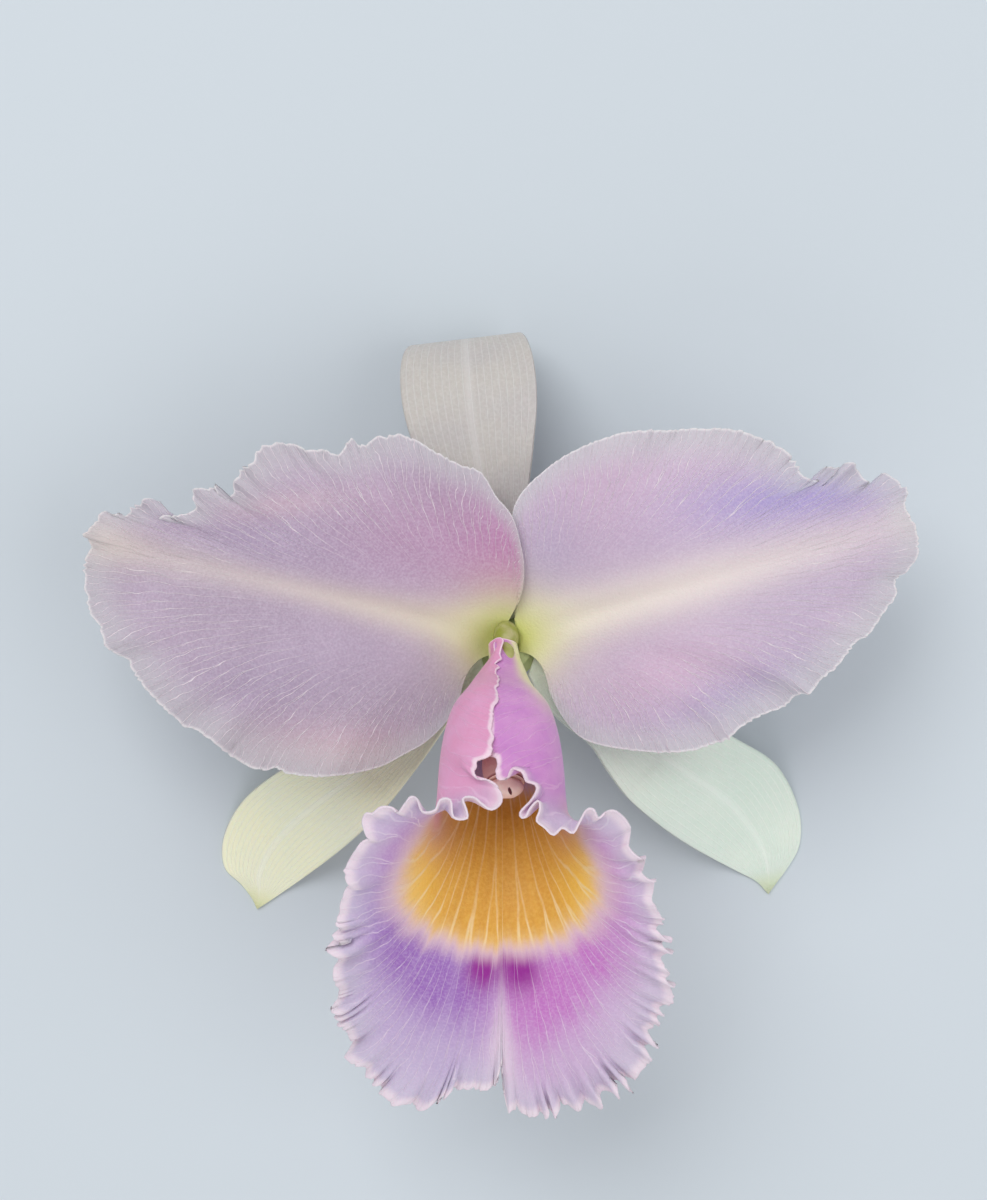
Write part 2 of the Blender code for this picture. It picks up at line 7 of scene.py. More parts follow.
import bpy
import numpy as np
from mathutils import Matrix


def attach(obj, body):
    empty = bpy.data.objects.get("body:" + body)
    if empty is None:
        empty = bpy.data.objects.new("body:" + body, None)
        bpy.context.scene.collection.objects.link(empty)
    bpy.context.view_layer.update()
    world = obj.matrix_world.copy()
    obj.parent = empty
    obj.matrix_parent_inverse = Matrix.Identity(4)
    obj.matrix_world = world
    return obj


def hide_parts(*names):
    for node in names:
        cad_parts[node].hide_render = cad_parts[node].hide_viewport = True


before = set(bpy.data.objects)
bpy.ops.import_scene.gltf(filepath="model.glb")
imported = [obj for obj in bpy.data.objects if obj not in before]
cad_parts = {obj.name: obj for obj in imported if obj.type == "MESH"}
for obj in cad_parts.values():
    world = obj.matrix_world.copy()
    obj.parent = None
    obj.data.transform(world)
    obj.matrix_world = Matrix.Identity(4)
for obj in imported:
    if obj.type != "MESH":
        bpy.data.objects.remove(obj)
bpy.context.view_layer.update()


# Receptacle, ovary and cut stalk: the fleshy green stem that every other piece grows from.
# Grown as one body: a stepped seat for petals and sepals, the ribbed ovary that bends down
# behind the flower, and the stalk, cut square, that lies just over the surface.

FLOWER_CENTRE = np.array([1.677, 12.829, 27.0])
STALK_STEPS = [(0.0, 5.2), (1.6, 5.2), (1.7, 7.0), (2.5, 6.9), (4.4, 4.5), (6.2, 3.6)]
OVARY_LINE = [
    (0.0, 1.0, -8.0), (-0.1, 0.6, -11.0), (-0.3, -1.4, -15.0), (-0.7, -5.6, -19.2),
    (-1.0, -12.0, -22.4), (-1.3, -20.0, -24.0), (-1.4, -26.0, -24.4), (-1.4, -40.0, -24.4),
    (-1.4, -66.0, -24.4),
]
OVARY_RADII = [(0.0, 3.3), (0.1, 3.25), (0.2, 3.1), (0.34, 2.7), (0.46, 2.45), (0.6, 2.3), (1.0, 2.3)]
OVARY_RIBS = 6


def ramp(value, start, end):
    """A smooth step from 0 at start to 1 at end: 3 t^2 - 2 t^3."""
    t = np.clip((value - start) / (end - start), 0.0, 1.0)
    return t * t * (3.0 - 2.0 * t)


def along_table(value, table):
    """Read (place, amount) pairs as a cubic curve through them with central-difference slopes."""
    places, amounts = np.array(table, float).T
    slopes = np.gradient(amounts, places)
    value = np.clip(value, places[0], places[-1])
    i = np.clip(np.searchsorted(places, value, side="right") - 1, 0, len(places) - 2)
    step = places[i + 1] - places[i]
    t = (value - places[i]) / step
    ends = (2 * t**3 - 3 * t**2 + 1) * amounts[i] + (3 * t**2 - 2 * t**3) * amounts[i + 1]
    return ends + ((t**3 - 2 * t**2 + t) * slopes[i] + (t**3 - t**2) * slopes[i + 1]) * step


def smooth_line(points, count):
    """A cubic line through the points, its knots spaced by the root of each chord, read evenly."""
    points = np.array(points, float)
    chords = np.linalg.norm(np.diff(points, axis=0), axis=1)
    knots = np.concatenate([[0.0], np.cumsum(np.sqrt(chords))])
    fine = np.linspace(0.0, knots[-1], 40 * len(points))
    axes = range(points.shape[1])
    line = np.stack([along_table(fine, np.stack([knots, points[:, k]], axis=1)) for k in axes], axis=1)
    travelled = np.concatenate([[0.0], np.cumsum(np.linalg.norm(np.diff(line, axis=0), axis=1))])
    places = np.linspace(0.0, travelled[-1], count)
    return np.stack([np.interp(places, travelled, line[:, k]) for k in axes], axis=1)


def skin(name, rings):
    """A closed skin over rows of rings: quads between neighbours and a fan to each end's middle."""
    rows, around = rings.shape[:2]
    number = np.arange(rows * around).reshape(rows, around)
    beside = np.roll(number, -1, axis=1)
    walls = np.stack([number[:-1], beside[:-1], beside[1:], number[1:]], axis=-1).reshape(-1, 4)
    foot, head = rows * around, rows * around + 1
    foot_fan = np.stack([beside[0], number[0], np.full(around, foot)], axis=-1)
    head_fan = np.stack([number[-1], beside[-1], np.full(around, head)], axis=-1)
    middles = np.stack([rings[0].mean(axis=0), rings[-1].mean(axis=0)])
    points = (np.vstack([rings.reshape(-1, 3), middles]) + FLOWER_CENTRE) * 0.001
    mesh = bpy.data.meshes.new(name)
    mesh.from_pydata(points.tolist(), [], walls.tolist() + foot_fan.tolist() + head_fan.tolist())
    mesh.shade_smooth()
    mesh.set_sharp_from_angle(angle=np.radians(50.0))
    piece = bpy.data.objects.new(name, mesh)
    bpy.context.scene.collection.objects.link(piece)
    return piece


def mark(piece, name, amounts):
    """Keep one amount per point on the piece, for its paint to read."""
    values = np.zeros(len(piece.data.vertices), np.float32)
    values[: amounts.size] = amounts.ravel()
    piece.data.attributes.new(name, "FLOAT", "POINT").data.foreach_set("value", values)


def colour(red, green, blue):
    """A colour as the eye reads it on a screen, 0 to 255, turned into linear light."""
    shares = np.array([red, green, blue]) / 255.0
    linear = np.where(shares <= 0.04045, shares / 12.92, ((shares + 0.055) / 1.055) ** 2.4)
    return (*linear.tolist(), 1.0)


def knot(tree, kind, sockets=(), **settings):
    """One node of a paint: settings by name, and a value or a link for each numbered socket."""
    made = tree.nodes.new(kind)
    for key, value in settings.items():
        setattr(made, key, value)
    for key, value in dict(sockets).items():
        if isinstance(value, bpy.types.NodeSocket):
            tree.links.new(value, made.inputs[key])
        else:
            made.inputs[key].default_value = value
    return made


def reading(tree, name):
    """The amount that mark() kept on the piece."""
    return knot(tree, "ShaderNodeAttribute", attribute_name=name).outputs["Fac"]


def sum_of(tree, operation, first, second=0.0, third=0.0):
    """One sum on numbers."""
    return knot(tree, "ShaderNodeMath", {0: first, 1: second, 2: third}, operation=operation).outputs[0]


def fade(tree, value, start, end, low=0.0, high=1.0):
    """A smooth step of a value from low at start to high at end."""
    sockets = {"Value": value, "From Min": start, "From Max": end, "To Min": low, "To Max": high}
    return knot(tree, "ShaderNodeMapRange", sockets, interpolation_type="SMOOTHSTEP").outputs["Result"]


def glaze(tree, share, under, over, kind="MIX"):
    """Lay one colour over another by a share."""
    sockets = {0: share, 6: under, 7: over}
    return knot(tree, "ShaderNodeMix", sockets, data_type="RGBA", blend_type=kind).outputs[2]


def mottle(tree, size, detail=3.0, stretch=(1.0, 1.0, 1.0), seed=0.0):
    """Cloudy noise from 0 to 1 whose blots are about size metres across."""
    place = knot(tree, "ShaderNodeTexCoord").outputs["Object"]
    sockets = {"Vector": place, "Location": (seed, 0.3 * seed, 0.0), "Scale": stretch}
    moved = knot(tree, "ShaderNodeMapping", sockets).outputs[0]
    sockets = {"Vector": moved, "Scale": 1.0 / size, "Detail": detail, "Roughness": 0.55}
    return knot(tree, "ShaderNodeTexNoise", sockets).outputs["Fac"]


def tissue(name, roughness, sheen=0.0, glow=0.0):
    """A living tissue's paint to be coloured: its own gloss, velvet sheen and inner glow."""
    made = bpy.data.materials.new(name)
    made.use_nodes = True
    shader = made.node_tree.nodes["Principled BSDF"]
    shader.inputs["Roughness"].default_value = roughness
    shader.inputs["Specular IOR Level"].default_value = 0.35
    shader.inputs["Sheen Weight"].default_value = sheen
    shader.inputs["Sheen Roughness"].default_value = 0.45
    shader.inputs["Subsurface Weight"].default_value = glow
    shader.inputs["Subsurface Radius"].default_value = (1.0, 0.7, 0.8)
    shader.inputs["Subsurface Scale"].default_value = 0.0012
    return made, made.node_tree, shader


def raise_relief(tree, shader, height, depth):
    """Bump of the given depth in metres from a 0 to 1 height."""
    sockets = {"Strength": 1.0, "Distance": depth, "Height": height}
    tree.links.new(knot(tree, "ShaderNodeBump", sockets).outputs[0], shader.inputs["Normal"])


def grown(piece, paint, node):
    """Give a finished piece its paint and let it stand for the solid of the same name."""
    piece.data.materials.append(paint)
    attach(piece, "root")
    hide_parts(node)


def stem_rings(around=48):
    """Rings across the stem: its radius from the tables, with rounded ribs along the ovary."""
    seat = np.array([(0.0, 1.0, -depth) for depth, radius in STALK_STEPS])
    below = smooth_line(OVARY_LINE, 120)
    line = np.vstack([seat, below])
    place = np.linspace(0.0, 1.0, len(below))
    radius = np.concatenate([[radius for depth, radius in STALK_STEPS], along_table(place, OVARY_RADII)])
    rib = np.concatenate([np.zeros(len(seat)), 0.16 * ramp(place, 0.0, 0.06) * (1.0 - ramp(place, 0.3, 0.5))])
    forward = np.gradient(line, axis=0)
    forward[: len(seat)] = (0.0, 0.0, -1.0)
    forward /= np.linalg.norm(forward, axis=1, keepdims=True)
    side = np.array([1.0, 0.0, 0.0]) - forward[:, :1] * forward
    side /= np.linalg.norm(side, axis=1, keepdims=True)
    back = np.cross(forward, side)
    angle = 2.0 * np.pi * np.arange(around) / around
    reach = radius[:, None] * (1.0 - rib[:, None] * (0.5 - 0.5 * np.cos(OVARY_RIBS * angle)))
    rings = line[:, None] + reach[..., None] * (
        np.cos(angle)[:, None] * side[:, None] + np.sin(angle)[:, None] * back[:, None]
    )
    return rings, np.broadcast_to(np.linspace(0.0, 1.0, len(line))[:, None], reach.shape)


rings, down_stem = stem_rings()
stem = skin("stem_with_ovary", rings)
mark(stem, "down_stem", down_stem)

green_skin, tree, shader = tissue("green stem", 0.42, sheen=0.05, glow=0.1)
blots = fade(tree, mottle(tree, 0.006, detail=4.0), 0.35, 0.7)
flesh = glaze(tree, blots, colour(118, 140, 66), colour(150, 168, 92))
flesh = glaze(tree, fade(tree, reading(tree, "down_stem"), 0.04, 0.2), colour(190, 200, 140), flesh)
freckles = fade(tree, mottle(tree, 0.0007, detail=2.0, seed=3.0), 0.62, 0.74, 0.0, 0.35)
flesh = glaze(tree, freckles, flesh, colour(96, 92, 60))
flesh = glaze(tree, fade(tree, reading(tree, "down_stem"), 0.985, 1.0), flesh, colour(196, 200, 150))
tree.links.new(flesh, shader.inputs["Base Color"])
raise_relief(tree, shader, mottle(tree, 0.0011, stretch=(1.0, 0.25, 1.0)), 0.00012)
grown(stem, green_skin, "ovary_and_stalk")


# Column: the fused stamen and style, a waxy club that the lip's tube is rolled round.
# It is yellow-green at its foot, where its back shows between the petals as a blunt knob,
# and pinkish tan at its tip. The dark slit under the anther is painted shade: dark red on
# the column's very end and maroon on the anther lid.

COLUMN_LINE = [
    (-0.4, 2.6, 0.4), (-0.4, 2.9, 2.2), (-0.45, 2.4, 4.0), (-0.55, 0.4, 5.6), (-0.8, -2.4, 7.6),
    (-1.1, -4.8, 10.2), (-1.3, -7.2, 13.2), (-1.3, -11.8, 18.6), (-1.0, -18.0, 25.0),
    (-0.7, -26.2, 31.2),
]
COLUMN_RADII = [
    (0.0, 3.3), (0.05, 3.2), (0.1, 2.9), (0.15, 2.5), (0.25, 2.6), (0.4, 3.1), (0.6, 3.9), (0.8, 5.0),
    (0.95, 5.3), (1.0, 4.6),
]
COLUMN_NARROWNESS = 0.84
COLUMN_FLATNESS = 0.78


def column_rings(rows=90, around=56):
    """Flattened rings square to the centre line, a shallow keel along the back."""
    line = smooth_line(COLUMN_LINE, rows)
    forward = np.gradient(line, axis=0)
    forward[0] = (0.0, 0.0, 1.0)
    forward /= np.linalg.norm(forward, axis=1, keepdims=True)
    side = np.array([1.0, 0.0, 0.0]) - forward[:, :1] * forward
    side /= np.linalg.norm(side, axis=1, keepdims=True)
    back = np.cross(forward, side)
    place = np.linspace(0.0, 1.0, rows)
    radius = along_table(place, COLUMN_RADII)[:, None, None]
    flatness = along_table(place, [(0.0, 1.1), (0.3, 1.0), (1.0, COLUMN_FLATNESS)])[:, None]
    angle = 2.0 * np.pi * np.arange(around) / around
    keel = 1.0 + 0.05 * ramp(place, 0.2, 0.6)[:, None] * np.cos(angle - 0.5 * np.pi) ** 9
    wide = (COLUMN_NARROWNESS * np.cos(angle) * keel)[..., None] * side[:, None]
    thick = (np.sin(angle) * flatness * keel)[..., None] * back[:, None]
    return line[:, None] + radius * (wide + thick), np.broadcast_to(place[:, None], keel.shape)


rings, up_column = column_rings()
column = skin("column_body", rings)
mark(column, "up_column", up_column)

column_wax, tree, shader = tissue("waxy column", 0.36, glow=0.15)
up = reading(tree, "up_column")
wax = glaze(tree, fade(tree, up, 0.14, 0.35), colour(152, 158, 66), colour(224, 214, 168))
wax = glaze(tree, fade(tree, up, 0.4, 0.8), wax, colour(252, 216, 204))
wax = glaze(tree, fade(tree, mottle(tree, 0.003), 0.3, 0.8, 0.0, 0.3), wax, colour(250, 228, 214))
# Painted shade: the column's very end, in the gap under the anther lid, is painted dark red.
wax = glaze(tree, fade(tree, up, 0.985, 1.0), wax, colour(150, 80, 80))
tree.links.new(wax, shader.inputs["Base Color"])
raise_relief(tree, shader, mottle(tree, 0.0008), 0.0001)
grown(column, column_wax, "column")


# Anther cap: the small domed lid over the pollen at the column's tip.
# It grows as a separate piece that sits loosely on the column, a groove down its middle.

CAP_PROFILE = [(0.0, 3.2), (0.25, 3.5), (0.7, 3.7), (1.5, 3.4), (2.3, 2.5), (2.7, 1.5), (2.85, 0.4)]
CAP_GAP = 0.3


def cap_rings(rows=28, around=48):
    """A turned dome along the column's own direction, pinched along its middle groove."""
    tip = np.array(COLUMN_LINE[-1])
    forward = tip - np.array(COLUMN_LINE[-2])
    forward /= np.linalg.norm(forward)
    side = np.array([1.0, 0.0, 0.0]) - forward[0] * forward
    side /= np.linalg.norm(side)
    back = np.cross(forward, side)
    depth, radius = smooth_line(CAP_PROFILE, rows).T
    angle = 2.0 * np.pi * np.arange(around) / around
    groove = 1.0 - 0.14 * ramp(depth, 0.2, 1.2)[:, None] * np.abs(np.sin(angle)) ** 12
    wide = (radius[:, None] * np.cos(angle))[..., None] * side
    thick = (radius[:, None] * np.sin(angle) * groove * COLUMN_FLATNESS)[..., None] * back
    return (tip + forward * (CAP_GAP + depth)[:, None])[:, None] + wide + thick, angle, depth


rings, angle, depth = cap_rings()
cap = skin("anther_lid", rings)
# Painted shade: a dark maroon mark on the lid stands for the shaded slit under the anther.
leaned = rings[..., 0] - 0.2 + 0.3 * (rings[..., 1] + 27.6)
slit_shade = np.exp(-((leaned / 0.4) ** 2) - ((rings[..., 1] + 27.6) / 1.0) ** 2)
mark(cap, "slit_shade", slit_shade * (rings[..., 2] > 30.0))

lid_wax, tree, shader = tissue("anther lid wax", 0.34, glow=0.15)
blush = fade(tree, mottle(tree, 0.0015), 0.3, 0.75)
wax = glaze(tree, blush, colour(250, 212, 204), colour(254, 228, 218))
# Painted shade: the slit under the anther, dark maroon on the lid.
wax = glaze(tree, fade(tree, reading(tree, "slit_shade"), 0.35, 0.6), wax, colour(88, 14, 34))
tree.links.new(wax, shader.inputs["Base Color"])
raise_relief(tree, shader, mottle(tree, 0.0007), 0.00008)
grown(cap, lid_wax, "anther_cap")


# Side sepals: two firm straps behind the petals, greenish cream, smooth-edged, with fine
# lengthwise veins. They slope back from the flower until their pointed tips rest.

SEPAL_LEFT_OUTER = [
    (-6.2, 0.4), (-9.4, -4.6), (-14.7, -8.7), (-26.6, -14.8), (-39.8, -21.5), (-51.7, -27.9),
    (-60.5, -35.6), (-64.5, -43.7), (-64.1, -50.1), (-60.5, -53.7), (-58.0, -56.9), (-56.8, -59.4),
]
SEPAL_LEFT_INNER = [
    (-4.9, -5.2), (-9.9, -10.8), (-14.7, -18.4), (-20.1, -26.1), (-26.7, -34.5), (-36.0, -43.7),
    (-46.9, -52.6), (-54.3, -57.8), (-56.8, -59.4),
]
SEPAL_RIGHT_OUTER = [
    (6.4, 0.6), (11.0, -3.4), (24.0, -8.2), (39.6, -14.2), (50.1, -19.6), (60.7, -26.6),
    (66.3, -37.4), (66.3, -45.1), (63.6, -50.1), (61.1, -53.5), (59.3, -56.0),
]
SEPAL_RIGHT_INNER = [
    (4.5, -5.2), (8.0, -11.9), (12.4, -16.3), (17.8, -20.6), (21.3, -25.9), (25.7, -31.8),
    (32.3, -37.8), (41.2, -44.3), (51.6, -50.4), (56.8, -53.3), (59.3, -56.0),
]
SEPAL_CLAW_HEIGHT = -0.95
SEPAL_THICKNESS = 0.7
SEPAL_SPOT_HEIGHT = 0.5 * SEPAL_THICKNESS - FLOWER_CENTRE[2]
SEPAL_HOLLOW = 1.2
SEPAL_SAG = 3.0
SEPAL_BEND_START = 40.0
SEPAL_BEND_END = 77.0


def leaf_sheet(name, surface, across, along, thickness):
    """A thin closed blade from a grid of points, with a map of where each point lies on it.

    The map's first number runs across the veins and its second along them. The thickness is
    laid half to either side.
    """
    rows, columns = surface.shape[:2]
    number = np.arange(rows * columns).reshape(rows, columns)
    faces = np.stack([number[:-1, :-1], number[:-1, 1:], number[1:, 1:], number[1:, :-1]], axis=-1)
    faces = faces.reshape(-1, 4)
    mesh = bpy.data.meshes.new(name)
    points = (surface.reshape(-1, 3) + FLOWER_CENTRE) * 0.001
    mesh.from_pydata(points.tolist(), [], faces.tolist())
    chart = mesh.uv_layers.new(name="vein_map")
    shares = np.stack([np.broadcast_to(across, (rows, columns)), np.broadcast_to(along, (rows, columns))], -1)
    chart.data.foreach_set("uv", shares.reshape(-1, 2)[faces.ravel()].astype(np.float32).ravel())
    mesh.shade_smooth()
    piece = bpy.data.objects.new(name, mesh)
    bpy.context.scene.collection.objects.link(piece)
    wall = piece.modifiers.new("thickness", "SOLIDIFY")
    wall.thickness = thickness * 0.001
    wall.offset = 0.0
    return piece


def side_sepal_surface(outer, inner, rows=170, columns=41):
    """A strap between two margins. Height over the surface: level, then a smooth fall to rest.

    Its sides stand a little over its middle near the claw, as a parabola across.
    """
    outer_edge = smooth_line(outer, rows)[:, None, :]
    inner_edge = smooth_line(inner, rows)[:, None, :]
    w = np.linspace(0.0, 1.0, columns)[:, None]
    flat = outer_edge + (inner_edge - outer_edge) * w
    distance = np.linalg.norm(flat, axis=-1)
    middle = np.linalg.norm(flat[:, columns // 2], axis=-1)[:, None]
    hollow = SEPAL_HOLLOW * (1.0 - ramp(middle, 30.0, 62.0))
    sag = -SEPAL_SAG * (np.clip(distance, 0.0, SEPAL_BEND_START) / SEPAL_BEND_START) ** 2
    level = SEPAL_CLAW_HEIGHT + sag
    height = level + (SEPAL_SPOT_HEIGHT - level) * ramp(distance, SEPAL_BEND_START, SEPAL_BEND_END)
    height = height + hollow * (2.0 * w[:, 0] - 1.0) ** 2
    return np.dstack([flat, height])


def long_veins(tree, count, wander=0.35):
    """Fine lines along a strap: the crests of a count of waves across its map, a little crooked."""
    chart = knot(tree, "ShaderNodeUVMap", uv_map="vein_map").outputs[0]
    split = knot(tree, "ShaderNodeSeparateXYZ", {0: chart})
    sockets = {"Vector": chart, "Scale": 7.0, "Detail": 3.0}
    crook = knot(tree, "ShaderNodeTexNoise", sockets).outputs["Fac"]
    place = sum_of(tree, "MULTIPLY_ADD", crook, wander, sum_of(tree, "MULTIPLY", split.outputs[0], count))
    wave = sum_of(tree, "COSINE", sum_of(tree, "MULTIPLY", place, 6.2832))
    return fade(tree, wave, 0.55, 1.0), split.outputs[0], split.outputs[1]


def sepal_tissue(name, ground, shade, vein, foot, tip):
    """Sepal paint: a clouded ground, thin lengthwise veins, a coloured foot and tip."""
    made, tree, shader = tissue(name, 0.5, sheen=0.15, glow=0.2)
    veins, across, along = long_veins(tree, 19.0)
    body = glaze(tree, fade(tree, mottle(tree, 0.022, detail=4.0), 0.3, 0.7), ground, shade)
    fine = fade(tree, mottle(tree, 0.0007, detail=4.0), 0.35, 0.75, 0.0, 0.14)
    body = glaze(tree, fine, body, colour(250, 250, 246))
    body = glaze(tree, sum_of(tree, "MULTIPLY", veins, 0.4), body, vein)
    middle = fade(tree, sum_of(tree, "ABSOLUTE", sum_of(tree, "SUBTRACT", across, 0.5)), 0.0, 0.06, 0.4, 0.0)
    body = glaze(tree, middle, body, vein)
    body = glaze(tree, fade(tree, along, 0.22, 0.0), body, foot)
    body = glaze(tree, fade(tree, along, 0.9, 1.0, 0.0, 0.8), body, tip)
    tree.links.new(body, shader.inputs["Base Color"])
    relief = sum_of(tree, "MULTIPLY_ADD", veins, 0.6, mottle(tree, 0.0006, detail=2.0))
    raise_relief(tree, shader, relief, 0.0001)
    return made


cream_sepal = sepal_tissue(
    "cream sepal", colour(255, 252, 214), colour(246, 246, 216), colour(255, 255, 240),
    colour(236, 240, 212), colour(240, 242, 184),
)
pale_green_sepal = sepal_tissue(
    "pale green sepal", colour(232, 242, 228), colour(222, 236, 222), colour(246, 252, 242),
    colour(232, 240, 216), colour(222, 232, 186),
)
for side, outer, inner in (
    ("left", SEPAL_LEFT_OUTER, SEPAL_LEFT_INNER),
    ("right", SEPAL_RIGHT_OUTER, SEPAL_RIGHT_INNER),
):
    surface = side_sepal_surface(outer, inner)
    if side == "left":
        surface = surface[:, ::-1]
    share = np.linspace(0.0, 1.0, surface.shape[1])[None, :]
    down = np.linspace(0.0, 1.0, surface.shape[0])[:, None]
    strap = leaf_sheet(f"side_sepal_{side}", surface, share, down, SEPAL_THICKNESS)
    grown(strap, cream_sepal if side == "left" else pale_green_sepal, f"sepal_{side}")


# Dorsal sepal: the upright strap behind the petals, greyish white flushed with lilac.
# It is hollowed a little across, and its upper end curls back under until it rests.

DORSAL_LINE = [
    (-0.2, 6.6, -0.95), (-1.2, 13.0, -0.9), (-3.2, 24.0, -0.6), (-5.4, 35.0, -0.6),
    (-7.1, 45.0, -1.0), (-8.2, 54.0, -2.6), (-8.9, 62.0, -6.6), (-9.2, 67.4, -12.6),
    (-9.1, 68.8, -19.0), (-8.8, 66.8, -24.0), (-8.4, 62.8, -27.0), (-8.1, 58.6, -27.4),
    (-7.9, 55.2, -26.0),
]
DORSAL_WIDTHS = [
    (0.0, 3.4), (0.1, 4.6), (0.25, 8.4), (0.4, 12.4), (0.52, 14.5), (0.66, 14.3), (0.78, 11.8),
    (0.88, 8.2), (0.95, 4.8), (1.0, 0.9),
]


def dorsal_surface(rows=170, columns=49):
    """A strap carried along its midline, its sides forward of its middle by a parabola."""
    line = smooth_line(DORSAL_LINE, rows)
    forward = np.gradient(line, axis=0)
    forward /= np.linalg.norm(forward, axis=1, keepdims=True)
    across = np.cross(forward, np.cross(np.array([1.0, 0.12, 0.0]), forward))
    across /= np.linalg.norm(across, axis=1, keepdims=True)
    face = np.cross(across, forward)
    s = np.linspace(0.0, 1.0, rows)
    w = np.linspace(-1.0, 1.0, columns)
    half = along_table(s, DORSAL_WIDTHS)
    hollow = 0.11 * half * (1.0 - ramp(s, 0.3, 0.75))
    surface = line[:, None] + (half[:, None] * w)[..., None] * across[:, None]
    surface = surface + (hollow[:, None] * w**2)[..., None] * face[:, None]
    surface[..., 2] = np.maximum(surface[..., 2], SEPAL_SPOT_HEIGHT)
    return surface, 0.5 + 0.5 * w[None, :], s[:, None]


dorsal = leaf_sheet("dorsal_strap", *dorsal_surface(), SEPAL_THICKNESS)
lilac_sepal = sepal_tissue(
    "lilac white sepal", colour(198, 192, 184), colour(190, 184, 182), colour(218, 214, 212),
    colour(206, 210, 190), colour(210, 214, 180),
)
grown(dorsal, lilac_sepal, "sepal_dorsal")


# Petals: two broad, thin blades, lilac with a net of pale veins, a cream midrib and a
# yellow-green claw. Their margins are crisped, and frilled towards the upper outer side.

PETAL_LEFT_CLAW = [(-3.3, -1.0), (0.2, 6.6)]
PETAL_LEFT_TIP = (-90.0, 24.0)
PETAL_LEFT_MARGIN = [
    (-10.2, -9.9), (-13.2, -15.1), (-17.8, -19.5), (-21.4, -21.5), (-26.6, -24.2), (-31.9, -25.5),
    (-38.0, -26.3), (-43.3, -26.3), (-46.9, -25.7), (-49.4, -24.7), (-51.1, -25.3), (-54.8, -24.5),
    (-59.2, -21.9), (-62.5, -19.0), (-66.1, -16.7), (-69.3, -15.8), (-70.6, -14.1), (-73.6, -11.0),
    (-77.2, -6.9), (-79.5, -4.0), (-80.3, -1.9), (-82.5, -0.4), (-84.9, 0.9), (-86.2, 4.9),
    (-88.4, 7.8), (-89.3, 11.0), (-90.1, 15.5), (-89.9, 18.9), (-88.8, 22.2), (-88.6, 23.7),
    (-90.0, 24.6), (-88.9, 25.6), (-87.4, 27.3), (-86.1, 29.0), (-84.5, 29.6), (-83.0, 28.8),
    (-81.6, 28.1), (-79.7, 30.0), (-78.2, 31.5), (-76.5, 31.9), (-74.5, 31.3), (-73.4, 29.1),
    (-70.4, 28.7), (-67.8, 29.1), (-65.7, 31.0), (-66.4, 34.2), (-64.9, 34.4), (-63.2, 34.0),
    (-61.9, 34.4), (-60.9, 35.2), (-60.2, 33.5), (-59.3, 32.2), (-58.3, 32.7), (-57.7, 36.1),
    (-55.8, 38.6), (-53.5, 39.7), (-53.0, 42.2), (-51.1, 43.3), (-48.1, 43.9), (-44.5, 43.5),
    (-42.0, 42.4), (-38.8, 42.4), (-36.1, 41.4), (-34.4, 43.1), (-33.2, 45.0), (-31.9, 43.7),
    (-30.0, 43.5), (-27.9, 45.4), (-25.6, 45.4), (-23.1, 45.8), (-19.5, 44.4), (-15.0, 41.8),
    (-9.7, 39.1), (-6.4, 38.2), (-4.5, 36.1), (-2.4, 32.5), (0.0, 29.8), (1.2, 27.7),
    (2.5, 23.3), (3.4, 18.0), (3.2, 13.6), (2.4, 10.6),
]
PETAL_RIGHT_CLAW = [(2.6, -0.4), (1.4, 6.8)]
PETAL_RIGHT_TIP = (86.5, 28.0)
PETAL_RIGHT_MARGIN = [
    (8.8, -8.5), (10.3, -11.9), (12.4, -15.2), (15.3, -18.3), (19.5, -20.0), (25.8, -21.0),
    (32.1, -21.4), (37.4, -21.2), (42.7, -19.9), (46.5, -18.6), (49.0, -16.3), (53.7, -13.7),
    (58.6, -11.8), (61.3, -9.1), (63.4, -8.9), (64.3, -7.8), (66.0, -6.1), (69.2, -3.8),
    (72.3, 0.2), (73.8, 2.1), (76.6, 3.6), (79.2, 7.4), (81.6, 10.2), (82.9, 12.1),
    (82.5, 15.0), (84.5, 16.7), (86.5, 19.3), (87.0, 23.6), (85.9, 27.2), (84.0, 30.6),
    (84.5, 32.7), (85.0, 34.9), (83.6, 34.8), (82.5, 36.1), (79.9, 37.8), (79.0, 36.1),
    (77.4, 35.6), (75.9, 36.3), (74.7, 38.4), (72.5, 39.9), (71.4, 39.6), (71.4, 37.9),
    (69.9, 38.8), (67.7, 39.2), (66.9, 38.3), (66.0, 36.6), (64.2, 36.2), (62.1, 37.2),
    (61.3, 38.7), (59.6, 41.3), (56.5, 43.6), (52.7, 45.5), (48.0, 46.8), (41.7, 47.2),
    (34.3, 46.8), (27.9, 46.6), (21.6, 45.3), (15.2, 43.0), (9.9, 40.0), (5.7, 36.6),
    (2.5, 33.0), (1.0, 29.5), (1.3, 25.7), (2.0, 21.5), (2.7, 16.1), (2.6, 11.9),
]
PETAL_THICKNESS = 0.45
PETAL_REACH = 90.0
PETAL_CLAW_HEIGHT = 0.75
PETAL_RISE = 40.0
PETAL_FALL = 34.5
PETAL_CAMBER = 3.5
PETAL_HALF_WIDTH = 38.0
# How the veins leave the midrib, by place along the margin from the lower edge of the claw
PETAL_GATHER = [(0.0, 0.3), (0.1, 0.3), (0.25, 0.25), (0.5, 0.3), (0.65, 0.5), (0.85, 0.6), (0.94, 0.85), (1.0, 1.0)]
PETAL_LEADS = [(0.0, 0.5), (0.12, 0.54), (0.25, 0.62), (0.38, 0.72), (0.5, 0.76), (0.62, 0.66), (0.78, 0.55), (1.0, 0.5)]
MIDRIB_DEPTH = 1.1
MIDRIB_WIDTH = 2.6


